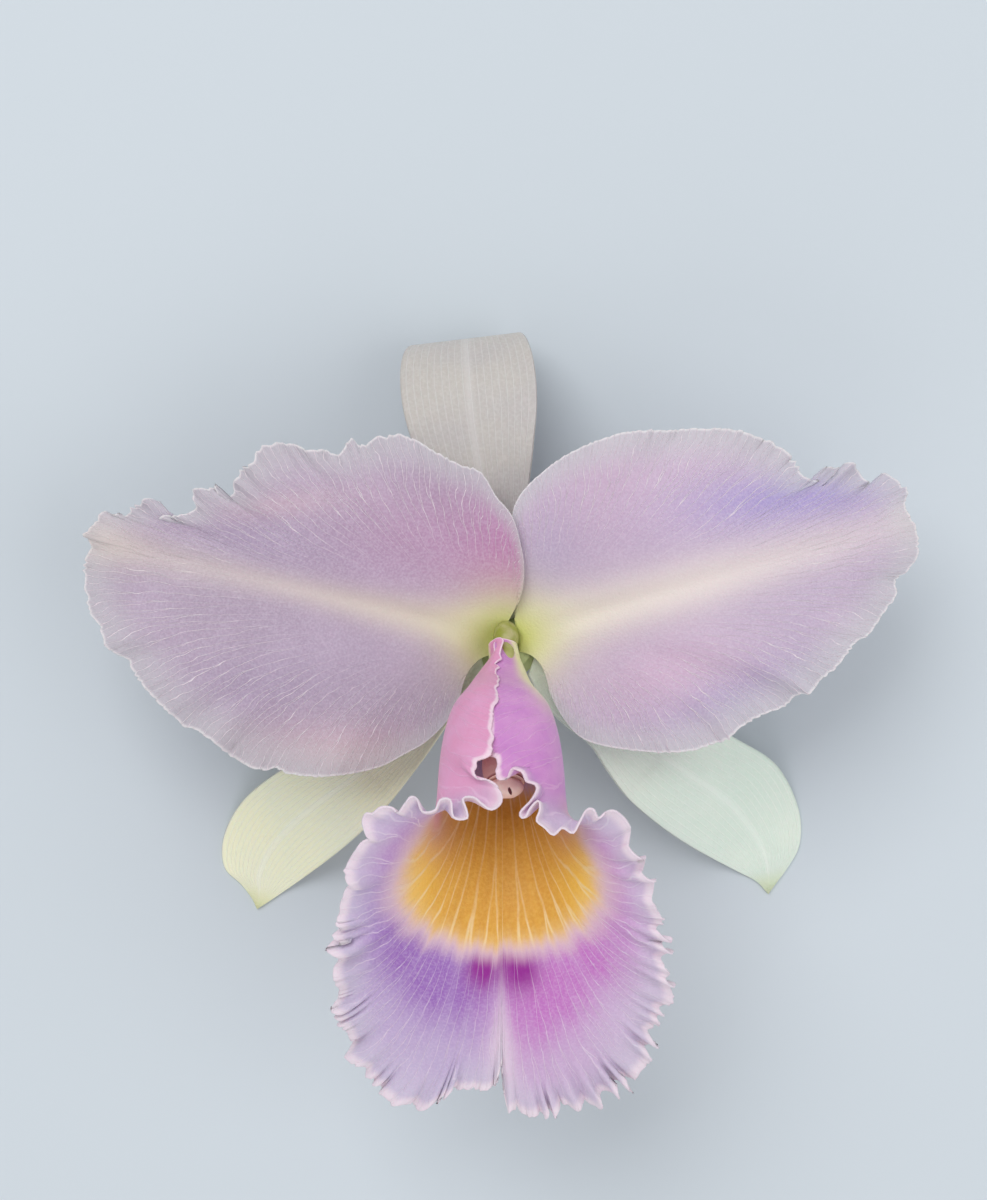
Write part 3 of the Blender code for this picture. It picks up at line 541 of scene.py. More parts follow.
def waves(place, count, seed):
    """Uneven waves of about one unit either way: a long sine and a short one, unevenly spaced."""
    phases = np.random.default_rng(seed).random(4)
    warped = place + 0.3 / count * np.sin(2 * np.pi * (0.23 * count * place + phases[0]))
    long_wave = np.sin(2 * np.pi * (count * warped + phases[1]))
    return 0.85 * long_wave + 0.4 * np.sin(2 * np.pi * (1.7 * count * warped + phases[2]))


def crisping(travelled, pitch, seed):
    """How tall the folds of a margin are, and their phase in radians, one turn per pitch.

    The phase wanders by two slow sines, and a third makes stretches of taller folds.
    """
    a, b, c, d = np.random.default_rng(seed).random(4)
    turn = 2.0 * np.pi
    phase = travelled / pitch + 0.45 * np.sin(turn * (travelled / (3.7 * pitch) + a))
    phase = phase + 0.25 * np.sin(turn * (travelled / (1.9 * pitch) + b)) + d
    return 0.75 + 0.35 * np.sin(turn * (travelled / (2.7 * pitch) + c)), turn * phase


def length_along(line):
    """Millimetres travelled along a line at each of its points."""
    return np.concatenate([[0.0], np.cumsum(np.linalg.norm(np.diff(line, axis=0), axis=1))])


def calm_line(line, reach):
    """The line without its small bites: each point becomes a bell-weighted mean of its neighbours."""
    before = 2.0 * line[0] - line[reach:0:-1]
    after = 2.0 * line[-1] - line[-2 : -reach - 2 : -1]
    padded = np.vstack([before, line, after])
    bell = np.hanning(2 * reach + 3)[1:-1]
    bell /= bell.sum()
    return np.stack([np.convolve(column, bell, mode="valid") for column in padded.T], axis=-1)


def fan(claw, margin, direction, rows, gather, lead_share):
    """Veins from the claw to the margin, each a parabola that leaves the midrib late.

    Its lead stands lead_share of the way out, at gather of the angle from the midrib.
    """
    share = np.linspace(0.0, 1.0, len(margin))[:, None]
    claw = np.array(claw)
    roots = claw[0] + (claw[1] - claw[0]) * share
    spans = margin - roots
    lengths = np.linalg.norm(spans, axis=1)
    turn = np.arctan2(spans[:, 1], spans[:, 0]) - direction
    turn = (turn + np.pi) % (2.0 * np.pi) - np.pi
    heading = direction + gather * turn
    reach = (lead_share * lengths)[:, None]
    leads = roots + reach * np.stack([np.cos(heading), np.sin(heading)], axis=-1)
    t = rows[:, None, None]
    return (1 - t) ** 2 * roots + 2 * (1 - t) * t * leads + t**2 * margin


def sheet_normals(surface):
    """Unit normals of a grid, from the cross product of its two directions."""
    normal = np.cross(np.gradient(surface, axis=0), np.gradient(surface, axis=1))
    return normal / np.maximum(np.linalg.norm(normal, axis=-1, keepdims=True), 1e-9)


def petal_surface(claw, margin, tip, lift, seed, frill, rows=92, columns=440):
    """A broad petal, and where each of its points lies along and across it.

    Height over the centre is a parabola of the distance from it, less a groove on the midrib
    and a camber across. The margin's bites and its crisp folds, which stand square to the
    blade, die out a little way in. frill gives (place, strength) along the margin.
    """
    edge = smooth_line(margin, columns)
    calm = calm_line(edge, 16)
    middle = np.mean(claw, axis=0)
    midrib = np.array(tip) - middle
    reach = np.linalg.norm(midrib)
    t = 1.0 - (1.0 - np.linspace(0.0, 1.0, rows)) ** 1.25
    place = np.linspace(0.0, 1.0, columns)[None, :]
    gather = along_table(place[0], PETAL_GATHER)
    lead_share = along_table(place[0], PETAL_LEADS)
    flat = fan(claw, calm, np.arctan2(midrib[1], midrib[0]), t, gather, lead_share)
    flat = flat + (edge - calm) * ramp(t, 0.8, 1.0)[:, None, None] ** 1.2
    offset = flat - middle
    along = (offset @ midrib) / reach**2
    across = (offset[..., 1] * midrib[0] - offset[..., 0] * midrib[1]) / reach
    span = np.linalg.norm(flat, axis=-1) / PETAL_REACH
    start = np.linalg.norm(middle) / PETAL_REACH
    height = PETAL_CLAW_HEIGHT + PETAL_RISE * (span - start) - PETAL_FALL * (span - start) ** 2
    height = height + lift * ramp(span, 0.04, 0.12)
    groove = ramp(along, 0.04, 0.2) * (1.0 - ramp(along, 0.75, 1.0))
    height = height - MIDRIB_DEPTH * groove * np.exp(-((across / MIDRIB_WIDTH) ** 2))
    camber = np.clip(np.abs(across) / PETAL_HALF_WIDTH, 0.0, 1.2) ** 2
    height = height - PETAL_CAMBER * camber * ramp(span, 0.25, 0.7)
    free = ramp(place, 0.05, 0.16) * (1.0 - ramp(place, 0.84, 0.95))
    height = height + 1.2 * ramp(t, 0.35, 1.0)[:, None] * free * waves(place, 5, seed)
    height = height + 1.1 * ramp(t, 0.7, 1.0)[:, None] * free * waves(place, 11, seed + 1)
    surface = np.dstack([flat, height])
    travelled = length_along(calm)[None, :]
    strength = along_table(place, frill) * free
    tall, fold = crisping(travelled, 6.5, seed + 2)
    fine, crisp = crisping(travelled, 2.4, seed + 3)
    rise = 0.65 * strength * tall * np.sin(fold) * ramp(t, 0.8, 1.0)[:, None] ** 1.6
    rise = rise + (0.2 + 0.3 * strength) * free * fine * np.sin(crisp) * ramp(t, 0.9, 1.0)[:, None]
    surface = surface + sheet_normals(surface) * rise[..., None]
    outward = offset / np.maximum(np.linalg.norm(offset, axis=-1, keepdims=True), 0.001)
    step = (0.22 + 0.2 * strength) * free * fine * np.cos(crisp) * ramp(t, 0.92, 1.0)[:, None] ** 1.5
    surface[..., :2] += outward * step[..., None]
    return surface, place, t, along, across


def forking_veins(tree, chart, count, seed, first=0.34, second=0.62, clear=0.03, crooked=0.9):
    """Pale veins that fork twice on their way to the margin: 1 on a vein, 0 between.

    The map is cut into a count of strips. The distance from a strip's middle, from 0 to 0.5, is
    folded at the first fork's spread, which grows to a quarter, and then at the second's.
    """
    split = knot(tree, "ShaderNodeSeparateXYZ", {0: chart})
    around, outward = split.outputs[0], split.outputs[1]
    strips = sum_of(tree, "MULTIPLY", around, count)
    sockets = {0: strips, 1: sum_of(tree, "MULTIPLY", outward, 8.0), 2: seed}
    cloud = knot(tree, "ShaderNodeCombineXYZ", sockets).outputs[0]
    crook = knot(tree, "ShaderNodeTexNoise", {"Vector": cloud, "Scale": 0.9, "Detail": 2.5}).outputs["Fac"]
    place = sum_of(tree, "MULTIPLY_ADD", crook, crooked, strips)
    strip = sum_of(tree, "FLOOR", place)
    off_middle = sum_of(tree, "SUBTRACT", sum_of(tree, "SUBTRACT", place, strip), 0.5)
    gap = sum_of(tree, "ABSOLUTE", off_middle)
    half = sum_of(tree, "MULTIPLY_ADD", sum_of(tree, "SIGN", off_middle), 0.25, sum_of(tree, "ADD", strip, seed))
    for fork_place, spread, strip_name in ((first, 0.25, sum_of(tree, "ADD", strip, seed)), (second, 0.125, half)):
        luck = knot(tree, "ShaderNodeTexWhiteNoise", {"W": strip_name}, noise_dimensions="1D").outputs["Value"]
        start = sum_of(tree, "MULTIPLY_ADD", luck, 0.28, fork_place - 0.1)
        end = sum_of(tree, "ADD", start, 0.22)
        apart = fade(tree, outward, start, end, 0.0, spread)
        gap = sum_of(tree, "ABSOLUTE", sum_of(tree, "SUBTRACT", gap, apart))
    width = sum_of(tree, "DIVIDE", clear, sum_of(tree, "MAXIMUM", outward, 0.25))
    line = fade(tree, sum_of(tree, "DIVIDE", gap, width), 1.0, 0.2)
    broken = knot(tree, "ShaderNodeTexNoise", {"Vector": cloud, "Scale": 2.6, "Detail": 2.0}).outputs["Fac"]
    return sum_of(tree, "MULTIPLY", line, fade(tree, broken, 0.3, 0.55, 0.5, 1.0)), outward


def petal_tissue(name, shades):
    """Petal paint, from the inside out.

    A clouded ground, the washes that the petal is marked with (the right petal's first is
    painted shade), a fine grain, the pale rim (partly painted light), forking veins that grow
    clearer outwards, the cream midrib and its yellow-green claw.
    """
    made, tree, shader = tissue(name, 0.52, sheen=0.2, glow=0.2)
    chart = knot(tree, "ShaderNodeUVMap", uv_map="vein_map").outputs[0]
    veins, outward = forking_veins(tree, chart, 42.0, 3.0, clear=0.019, crooked=0.65)
    body = glaze(tree, fade(tree, mottle(tree, 0.03, detail=5.0), 0.3, 0.7), shades["light"], shades["deep"])
    for wash in ("wash_and_shade_one", "wash_two", "wash_three"):
        body = glaze(tree, reading(tree, wash), body, shades[wash])
    grain = fade(tree, mottle(tree, 0.0005, detail=4.0, seed=2.0), 0.36, 0.7, 0.0, 0.22)
    body = glaze(tree, grain, body, colour(232, 220, 234))
    # The pale rim and the whitish edge line are partly the petal's own pale margin and partly painted light: the thin
    # margin lit through, and its edge catching light.
    body = glaze(tree, fade(tree, outward, 0.8, 0.99, 0.0, 0.6), body, shades["rim"])
    body = glaze(tree, fade(tree, outward, 0.985, 1.0, 0.0, 0.7), body, colour(244, 238, 238))
    veins = sum_of(tree, "MULTIPLY", veins, fade(tree, outward, 0.34, 0.76, 0.0, 0.8))
    body = glaze(tree, veins, body, colour(240, 228, 234))
    body = glaze(tree, reading(tree, "cream"), body, shades["rib"])
    body = glaze(tree, reading(tree, "green"), body, colour(214, 216, 128))
    tree.links.new(body, shader.inputs["Base Color"])
    relief = sum_of(tree, "MULTIPLY_ADD", veins, 0.9, mottle(tree, 0.0005, detail=3.0))
    raise_relief(tree, shader, relief, 0.00012)
    return made


def spot(surface, x, y, wide, high, lean=0.0):
    """A soft spot on the blade: a bell of the distance from its middle, wide by high, leaned."""
    turn = np.radians(lean)
    dx, dy = surface[..., 0] - x, surface[..., 1] - y
    u = (dx * np.cos(turn) + dy * np.sin(turn)) / wide
    v = (dy * np.cos(turn) - dx * np.sin(turn)) / high
    return np.exp(-(u**2 + v**2))


def add_petal(node, name, outline, frill, seed, washes, shades):
    """Make one petal with its washes and painted shade, and put it in the place of its solid."""
    claw, margin, tip, lift = outline
    surface, place, t, along, across = petal_surface(claw, margin, tip, lift, seed, frill)
    petal = leaf_sheet(name, surface, place, t[:, None], PETAL_THICKNESS)
    for wash, amount in washes(surface).items():
        mark(petal, wash, np.clip(amount, 0.0, 1.0))
    width = along_table(along, shades["rib_widths"])
    rib = np.exp(-((across / width) ** 2)) * along_table(along, shades["rib_strengths"])
    distance = np.linalg.norm(surface[..., :2] - np.array([0.0, 2.0]), axis=-1)
    mark(petal, "cream", np.clip(rib + 0.6 * np.exp(-((distance / 13.0) ** 2)), 0.0, 0.95))
    mark(petal, "green", 0.9 * np.exp(-((distance / 9.5) ** 2)) + 0.3 * rib * np.exp(-distance / 18.0))
    grown(petal, petal_tissue(f"{name} tissue", shades), node)


add_petal(
    "petal_left", "left_petal",
    (PETAL_LEFT_CLAW, PETAL_LEFT_MARGIN, PETAL_LEFT_TIP, 1.3),
    [(0.0, 0.1), (0.3, 0.3), (0.4, 0.3), (0.45, 0.9), (0.62, 1.2), (0.7, 0.9), (0.8, 0.5), (1.0, 0.1)],
    11,
    lambda at: {
        "wash_and_shade_one": 0.95 * spot(at, 4.0, 17.0, 13.0, 16.0) + 0.4 * spot(at, -16.0, 24.0, 22.0, 12.0),
        "wash_two": 0.7 * spot(at, -30.0, -23.0, 26.0, 7.0, -8.0) + 0.4 * spot(at, -52.0, 30.0, 16.0, 3.0, 8.0),
        "wash_three": 0.5 * spot(at, -62.0, 26.0, 26.0, 7.0, -12.0) + 0.35 * spot(at, -52.0, -8.0, 20.0, 9.0, 8.0),
    },
    # Painted shade: the left petal's ground, midrib and rim colours are darker copies of the right petal's, for the
    # side of the bloom in shade.
    {
        "light": colour(186, 168, 188), "deep": colour(170, 152, 172), "rim": colour(196, 196, 198),
        "wash_and_shade_one": colour(186, 124, 170), "wash_two": colour(214, 182, 186),
        "wash_three": colour(156, 138, 170), "rib": colour(222, 210, 196),
        "rib_widths": [(0.0, 6.0), (0.2, 4.2), (0.5, 3.0), (0.8, 4.0), (1.0, 5.0)],
        "rib_strengths": [(0.0, 0.9), (0.25, 0.75), (0.5, 0.5), (0.8, 0.42), (0.96, 0.5), (1.0, 0.3)],
    },
)
add_petal(
    "petal_right", "right_petal",
    (PETAL_RIGHT_CLAW, PETAL_RIGHT_MARGIN, PETAL_RIGHT_TIP, -0.7),
    [(0.0, 0.1), (0.3, 0.25), (0.5, 0.3), (0.56, 0.8), (0.64, 1.2), (0.7, 0.5), (0.76, 0.15), (1.0, 0.1)],
    21,
    lambda at: {
        # Painted shade: the first wash's bluish lilac along the upper outer margin stands for shade where that margin
        # faces away from the light.
        "wash_and_shade_one": 0.85 * spot(at, 64.0, 33.0, 20.0, 5.0, 4.0) + 0.4 * spot(at, 44.0, 30.0, 16.0, 7.0),
        "wash_two": 0.6 * spot(at, 34.0, -5.0, 16.0, 9.0, 10.0) + 0.4 * spot(at, 20.0, 34.0, 24.0, 14.0),
        "wash_three": 0.55 * spot(at, 48.0, -10.0, 18.0, 6.0, 20.0) + 0.3 * spot(at, 8.0, 18.0, 6.0, 14.0),
    },
    {
        "light": colour(198, 180, 200), "deep": colour(186, 168, 192), "rim": colour(200, 202, 202),
        "wash_and_shade_one": colour(166, 152, 204), "wash_two": colour(214, 178, 202),
        "wash_three": colour(164, 152, 190), "rib": colour(238, 226, 216),
        "rib_widths": [(0.0, 6.5), (0.2, 6.0), (0.5, 5.5), (0.8, 4.5), (1.0, 5.0)],
        "rib_strengths": [(0.0, 0.95), (0.25, 0.85), (0.5, 0.7), (0.8, 0.4), (1.0, 0.2)],
    },
)


# Lip: the third petal, one thin sheet that is rolled into a tube round the column, its left
# edge lapped over its right, and opens below into a wide disc. Its margin is tightly ruffled.
# Pink outside the tube, orange in the throat, purple on the disc and whitish at the frill, partly painted highlight.

LIP_THICKNESS = 0.4
LIP_CLAW_START = 4.5
LIP_CLAW_HALF_WIDTH = 3.0
LIP_TIP_PULL = np.array([-0.5, 2.5, 1.4])
LIP_START_X = -0.5
LIP_OFFSET = -1.0
LIP_LENGTH = 112.0
SEAM_CLEARANCE = 0.45
SEAM_PRESS = np.array([0.0, -0.15, -0.3])
LIP_LEFT_OUTLINE = [
    (3.3, 5.0), (2.4, 7.8), (6.5, 12.4), (13.5, 20.4), (21.0, 30.8), (28.5, 35.6),
    (33.0, 37.2), (36.0, 37.6), (39.0, 35.8), (42.0, 38.0), (44.0, 38.4), (46.4, 37.2),
    (47.9, 39.6), (49.2, 40.4), (51.0, 39.0), (53.8, 37.4), (57.6, 35.6), (63.9, 34.0),
    (73.2, 33.8), (84.1, 33.4), (94.0, 31.0), (100.2, 26.0), (104.4, 18.4), (103.2, 14.4),
    (100.6, 11.8), (99.0, 8.6), (98.5, 5.2), (98.9, 2.4), (96.3, 1.0), (92.8, 0.0),
]
LIP_RIGHT_OUTLINE = [
    (3.3, 5.0), (2.4, 9.8), (6.5, 14.8), (13.5, 23.6), (21.0, 34.4), (28.5, 39.3),
    (34.0, 41.6), (37.0, 42.4), (39.0, 40.4), (41.5, 37.0), (44.0, 36.2), (46.4, 35.6),
    (47.8, 37.0), (48.8, 38.4), (50.3, 38.0), (53.0, 36.0), (56.6, 34.9), (61.8, 33.7),
    (68.8, 33.6), (76.9, 33.6), (85.1, 32.7), (92.8, 30.6), (98.6, 27.0), (102.6, 21.9),
    (104.8, 15.8), (104.9, 9.1), (104.4, 4.2), (102.6, 1.2), (98.0, 0.4), (92.8, 0.0),
]
# How far down the midline each vein turns off it, by where on the margin it ends
LIP_LEADS = [
    (2.0, 4.8), (13.5, 8.5), (28.0, 15.0), (36.0, 20.0), (40.0, 26.0), (43.0, 34.0), (45.5, 43.0),
    (48.0, 50.0), (51.0, 54.0), (55.0, 56.5), (61.0, 59.0), (68.0, 62.0), (76.0, 65.5),
    (84.0, 69.0), (92.0, 72.0), (100.0, 75.0), (105.0, 77.0),
]
# Where the mouth's frilled edge runs in the rolled lip, by its place down the midline: (p, x, y, z)
LIP_LEFT_MOUTH = [
    (35.0, -3.8, -17.2, 40.3), (37.2, -3.4, -19.3, 41.4), (39.2, -6.6, -21.8, 42.3),
    (40.9, -6.1, -24.4, 44.0), (41.9, -4.0, -24.7, 45.1), (42.9, -1.8, -26.4, 45.7),
    (43.6, -1.8, -28.9, 46.5), (44.1, -3.4, -30.4, 47.2), (44.5, -5.3, -29.3, 46.9),
    (44.9, -7.1, -27.8, 46.2), (45.2, -9.1, -27.8, 46.4), (45.5, -8.4, -30.0, 47.6),
    (45.8, -8.2, -31.7, 48.2), (46.1, -10.8, -31.7, 48.1), (46.4, -11.6, -28.2, 47.1),
    (46.7, -13.5, -28.1, 47.4), (47.0, -14.5, -29.9, 48.6), (47.3, -17.0, -30.1, 49.3),
    (47.6, -18.1, -27.4, 50.6), (47.9, -19.3, -27.0, 51.4), (48.2, -20.5, -28.7, 50.9),
    (48.5, -21.5, -30.7, 50.2), (48.8, -23.0, -29.2, 50.6), (49.1, -24.9, -29.3, 51.1),
    (49.5, -26.4, -30.5, 50.7), (49.9, -28.0, -30.5, 50.5), (50.4, -28.7, -32.7, 49.4),
    (51.4, -28.3, -35.6, 48.0),
]
LIP_RIGHT_MOUTH = [
    (36.4, -4.6, -20.4, 39.6), (37.4, -3.0, -20.3, 40.6), (38.6, -2.2, -22.0, 42.2),
    (39.6, -2.8, -24.1, 43.6), (40.4, -0.8, -24.5, 43.0), (41.1, 0.4, -22.6, 42.2),
    (41.7, 1.7, -22.7, 42.8), (42.4, 3.5, -24.8, 43.8), (43.0, 5.1, -26.1, 44.6),
    (43.5, 4.2, -28.2, 45.9), (43.9, 1.9, -30.8, 47.1), (44.2, 2.8, -31.6, 47.6),
    (44.5, 4.2, -29.5, 46.7), (44.8, 5.8, -28.2, 46.0), (45.1, 6.0, -30.2, 47.0),
    (45.4, 5.3, -32.3, 47.9), (45.8, 6.8, -33.6, 48.2), (46.2, 8.5, -35.0, 48.5),
    (46.6, 10.3, -33.5, 47.8), (47.0, 12.4, -34.4, 48.7), (47.4, 13.7, -32.3, 48.7),
    (47.8, 15.4, -29.6, 49.4), (48.3, 17.6, -31.3, 49.8), (48.8, 19.5, -29.8, 50.6),
    (49.4, 21.2, -30.7, 50.2), (50.0, 22.7, -31.9, 49.6), (50.8, 23.3, -34.4, 48.6),
    (52.0, 23.2, -37.3, 47.2),
]
# Lean of the floor from +Z toward -Y along the midline, and of the plane of each section
LIP_LEAN = [
    (0, 78), (6, 68), (14, 60), (30, 59), (46, 60), (54, 67), (64, 84), (74, 96), (89, 107),
    (102, 112), (112, 114),
]
LIP_SECTION_LEAN = [
    (0, 78), (6, 68), (14, 60), (32, 60), (38, 63), (44, 67), (48, 68), (52, 71), (58, 78),
    (64, 85), (74, 96), (89, 107), (102, 112), (112, 114),
]
LIP_HALF_WIDTH = [
    (0, 6.6), (3, 8.7), (7, 13.4), (14, 21.6), (21.5, 31.6), (28.5, 36.5), (38, 39.5),
    (46, 40.5), (54, 39.0), (62, 36.5), (70, 35.0), (112, 35.0),
]
# Turn of each section from the floor to the margin, and how much of it flares back
LIP_TURN = [
    (0, 3.1), (42, 3.1), (44.2, 3.1), (46.2, 3.1), (48.2, 3.05), (50.5, 2.85), (54, 2.4),
    (58, 1.75), (62.5, 1.15), (67, 0.6), (73, 0.1), (90, -0.3), (112, -0.3),
]
LIP_FLARE = [
    (0, 0.0), (36, 0.0), (42, 0.0), (44.2, 0.12), (46.2, 0.45), (48.2, 0.72), (50.5, 0.86),
    (54, 0.95), (58, 1.0), (62.5, 1.05), (67, 1.1), (73, 0.9), (90, 0.0), (112, 0.0),
]


def section_sweep(turn, flare, s):
    """Add up a section whose tangent has turned by turn * s * (1 - flare * s^2) at s."""
    x, n = np.zeros_like(s), np.zeros_like(s)
    for knot_place, weight in zip(*np.polynomial.legendre.leggauss(12)):
        u = 0.5 * (knot_place + 1.0) * s
        angle = turn * u * (1.0 - flare * u**2)
        x += 0.5 * weight * s * np.cos(angle)
        n += 0.5 * weight * s * np.sin(angle)
    return x, n


def lip_point(p, q):
    """Roll the flat lip: p runs down its midline, q away from it, to the left if negative."""
    floor_p = np.linspace(0.0, LIP_LENGTH, 1121)
    lean = np.radians(along_table(floor_p, LIP_LEAN))
    step = floor_p[1]
    floor_y = 1.0 - step * np.concatenate([[0.0], np.cumsum(np.sin(lean[1:]))])
    floor_z = 1.0 + step * np.concatenate([[0.0], np.cumsum(np.cos(lean[1:]))])
    side = np.where(q < 0.0, -1.0, 1.0)
    half = along_table(p, LIP_HALF_WIDTH)
    s = np.abs(q) / half
    turn, flare = along_table(p, LIP_TURN), along_table(p, LIP_FLARE)
    x, n = section_sweep(turn, flare, s)
    angle = turn * s * (1.0 - flare * s**2)
    lift = -side * SEAM_CLEARANCE * ramp(s, 0.72, 0.95) * (1.0 - ramp(p, 38.0, 44.0))
    x = side * (x * half + lift * np.sin(angle)) + LIP_START_X + LIP_OFFSET * ramp(p, 0.0, 14.0)
    n = n * half - lift * np.cos(angle)
    lean = np.radians(along_table(p, LIP_SECTION_LEAN))
    y = np.interp(p, floor_p, floor_y) + n * np.cos(lean)
    z = np.interp(p, floor_p, floor_z) + n * np.sin(lean)
    return np.stack([x, y, z], axis=-1)


def mouth_pull(margin, on_side, mouth):
    """How far each point of the rolled margin is from the mouth's edge, where a side has one."""
    line = smooth_line(mouth, 1500)
    down = np.maximum.accumulate(line[:, 0])
    p = margin[:, 0]
    target = np.stack([np.interp(p, down, line[:, k]) for k in (1, 2, 3)], axis=1)
    within = ramp(p, down[0] - 0.5, down[0] + 1.5) * (1.0 - ramp(p, down[-1] - 1.4, down[-1] + 1.0))
    return (target - lip_point(p, margin[:, 1])) * (within * on_side)[:, None]


def lip_surface(rows=50, columns=860, fine=6001):
    """The lip's blade: veins fan out in the flat sheet, the sheet is rolled, its margin ruffled.

    Folds stand square to the blade and fade inwards. The margin also steps in and out a
    quarter of a fold later, so that its edge winds like a loose coil. Its columns are spread
    by the length of that winding edge, and the mouth's edge is drawn to its own line.
    """
    left = smooth_line([(p, -q) for p, q in LIP_LEFT_OUTLINE], fine // 2 + 1)
    right = smooth_line(LIP_RIGHT_OUTLINE, fine // 2 + 1)
    margin = np.vstack([left, right[-2::-1]])
    down = margin[:, 0]
    travelled = length_along(margin)
    pull = mouth_pull(margin, margin[:, 1] < 0.0, LIP_LEFT_MOUTH)
    pull = pull + mouth_pull(margin, margin[:, 1] > 0.0, LIP_RIGHT_MOUTH)
    pull = pull + LIP_TIP_PULL * (1.0 - ramp(down, 3.0, 11.0))[:, None]
    frilled = ramp(down, 49.6, 51.8) * (1.0 - 0.65 * np.exp(-(((margin[:, 1] + 4.0) / 5.0) ** 2)) * ramp(down, 88.0, 95.0))
    mouth = ramp(down, 35.0, 38.0) * (1.0 - frilled)
    seam = (1.0 - ramp(down, 32.0, 35.5)) * ramp(down, 4.0, 9.0) * (margin[:, 1] < 0.0)
    tall, fold = crisping(travelled, 4.7, 32)
    small, crisp = crisping(travelled, 2.1, 33)
    long, lobe = crisping(travelled, 12.0, 31)
    bold = 1.0 + 0.5 * np.exp(-(((margin[:, 1] - 24.0) / 14.0) ** 2)) * ramp(down, 70.0, 95.0)
    out = frilled * bold * (1.35 * tall * np.cos(fold) + 0.35 * small * np.cos(crisp) + 0.5 * long * np.cos(lobe))
    out = out + seam * (0.85 * tall * np.sin(0.62 * fold) + 0.2 * small * np.cos(crisp))
    out = out + 0.3 * mouth * small * np.cos(crisp)
    sideways = -0.35 * frilled * tall * np.sin(2.0 * fold)
    waves_up = np.stack([
        0.8 * frilled * long * np.sin(lobe), 1.0 * frilled * bold * tall * np.sin(fold),
        (0.35 * frilled + 0.12 * seam + 0.3 * mouth) * small * np.sin(crisp) + 0.2 * seam * tall * np.cos(0.62 * fold),
    ], axis=1)
    edge = np.hstack([lip_point(down, margin[:, 1]) + pull, out[:, None], waves_up.sum(axis=1)[:, None]])
    wound = length_along(edge)
    even = np.linspace(0.0, wound[-1], columns)

    def picked(values):
        return np.stack([np.interp(even, wound, values[:, k]) for k in range(values.shape[1])], axis=1)

    tangent = np.gradient(margin, travelled, axis=0)
    slow_pull = calm_line(pull, 140)
    margin, tangent, waves_up = picked(margin), picked(tangent), picked(waves_up)
    pull, slow_pull = picked(pull), picked(slow_pull)
    out, sideways, share = picked(np.stack([out, sideways, travelled / travelled[-1]], axis=1)).T
    across = LIP_CLAW_HALF_WIDTH * (2.0 * share - 1.0)
    roots = np.stack([np.full_like(share, LIP_CLAW_START), across], axis=-1)
    leads = np.stack([along_table(margin[:, 0], LIP_LEADS), across + 0.15 * margin[:, 1]], axis=-1)
    t = (1.0 - (1.0 - np.linspace(0.0, 1.0, rows)) ** 1.4)[:, None]
    u = t[..., None]
    sheet = (1 - u) ** 2 * roots + 2 * (1 - u) * u * leads + u**2 * margin
    rim = margin - sheet[-2]
    rim /= np.linalg.norm(rim, axis=1, keepdims=True)
    near = ramp(u, 0.85, 1.0) ** 1.3
    sheet = sheet + near * (rim * out[:, None] + tangent * sideways[:, None])
    surface = lip_point(sheet[..., 0], sheet[..., 1])
    rise = waves_up[:, 0] * ramp(t, 0.66, 1.0) ** 2 + waves_up[:, 1] * ramp(t, 0.8, 1.0) ** 1.5
    rise = rise + waves_up[:, 2] * ramp(t, 0.9, 1.0)
    surface = surface + sheet_normals(surface) * rise[..., None]
    surface = surface + slow_pull * ramp(u, 0.7, 1.0) ** 1.2 + (pull - slow_pull) * ramp(u, 0.88, 1.0) ** 1.2
    surface = surface + SEAM_PRESS * picked(seam[:, None]) * ramp(u, 0.85, 1.0)
    return surface, share[None, :], t, sheet


surface, place, t, sheet = lip_surface()
lip = leaf_sheet("ruffled_lip", surface, place, t, LIP_THICKNESS)
p, q = sheet[..., 0], sheet[..., 1]


def blot(down, across, high, wide, lean=0.0):
    """A soft mark on the flat lip: a bell high along the midline and wide across it, leaned."""
    turn = np.radians(lean)
    dp, dq = p - down, q - across
    u = (dp * np.cos(turn) + dq * np.sin(turn)) / high
    v = (dq * np.cos(turn) - dp * np.sin(turn)) / wide
    return np.exp(-(u**2 + v**2))


# The throat's patch is round below and cut off above by the tube: its measure is 1 at its edge
patch = np.sqrt(((p - 51.0) / 17.0) ** 2 + (q / 24.5) ** 2)
halfway = np.abs(q) / along_table(p, LIP_HALF_WIDTH)
tube = 1.0 - ramp(p + 0.12 * np.abs(q), 43.0, 51.0)
mark(lip, "patch", patch)
mark(lip, "tube", tube * ramp(halfway, 0.36, 0.5))
mark(lip, "left_lobe", ramp(-q, -3.0, 3.0))
cream_side = ramp(halfway, 0.9, 0.7) * (1.0 - ramp(p, 12.0, 30.0))
mark(lip, "tube_foot", cream_side * np.where(q > 0.0, 1.0, ramp(halfway, 0.66, 0.5)))
spots = blot(72.2, -3.6, 4.2, 3.6, 15.0) + blot(72.8, 4.2, 4.4, 3.6, -15.0) + 0.5 * blot(69.0, 0.0, 2.5, 3.0)
mark(lip, "double_spot", np.clip(spots, 0.0, 1.0))
band = blot(76.0, -9.0, 10.0, 13.0, 20.0) + 0.9 * blot(66.0, -21.0, 10.0, 7.0, 35.0)
mark(lip, "violet_band", np.clip(band + 0.4 * blot(56.0, -30.0, 8.0, 5.0), 0.0, 1.0))
band = blot(80.0, 8.0, 13.0, 10.0, -15.0) + 0.85 * blot(68.0, 20.0, 10.0, 8.0, -35.0)
band = band + 0.5 * blot(55.0, 29.0, 9.0, 6.0) + 0.45 * blot(51.0, -32.0, 5.0, 8.0)
mark(lip, "pink_band", np.clip(band, 0.0, 1.0))
width = 0.5 + 0.16 * np.clip(p - 74.0, 0.0, 16.0)
mark(lip, "streak", np.exp(-((q / width) ** 2)) * ramp(p, 65.0, 90.0))
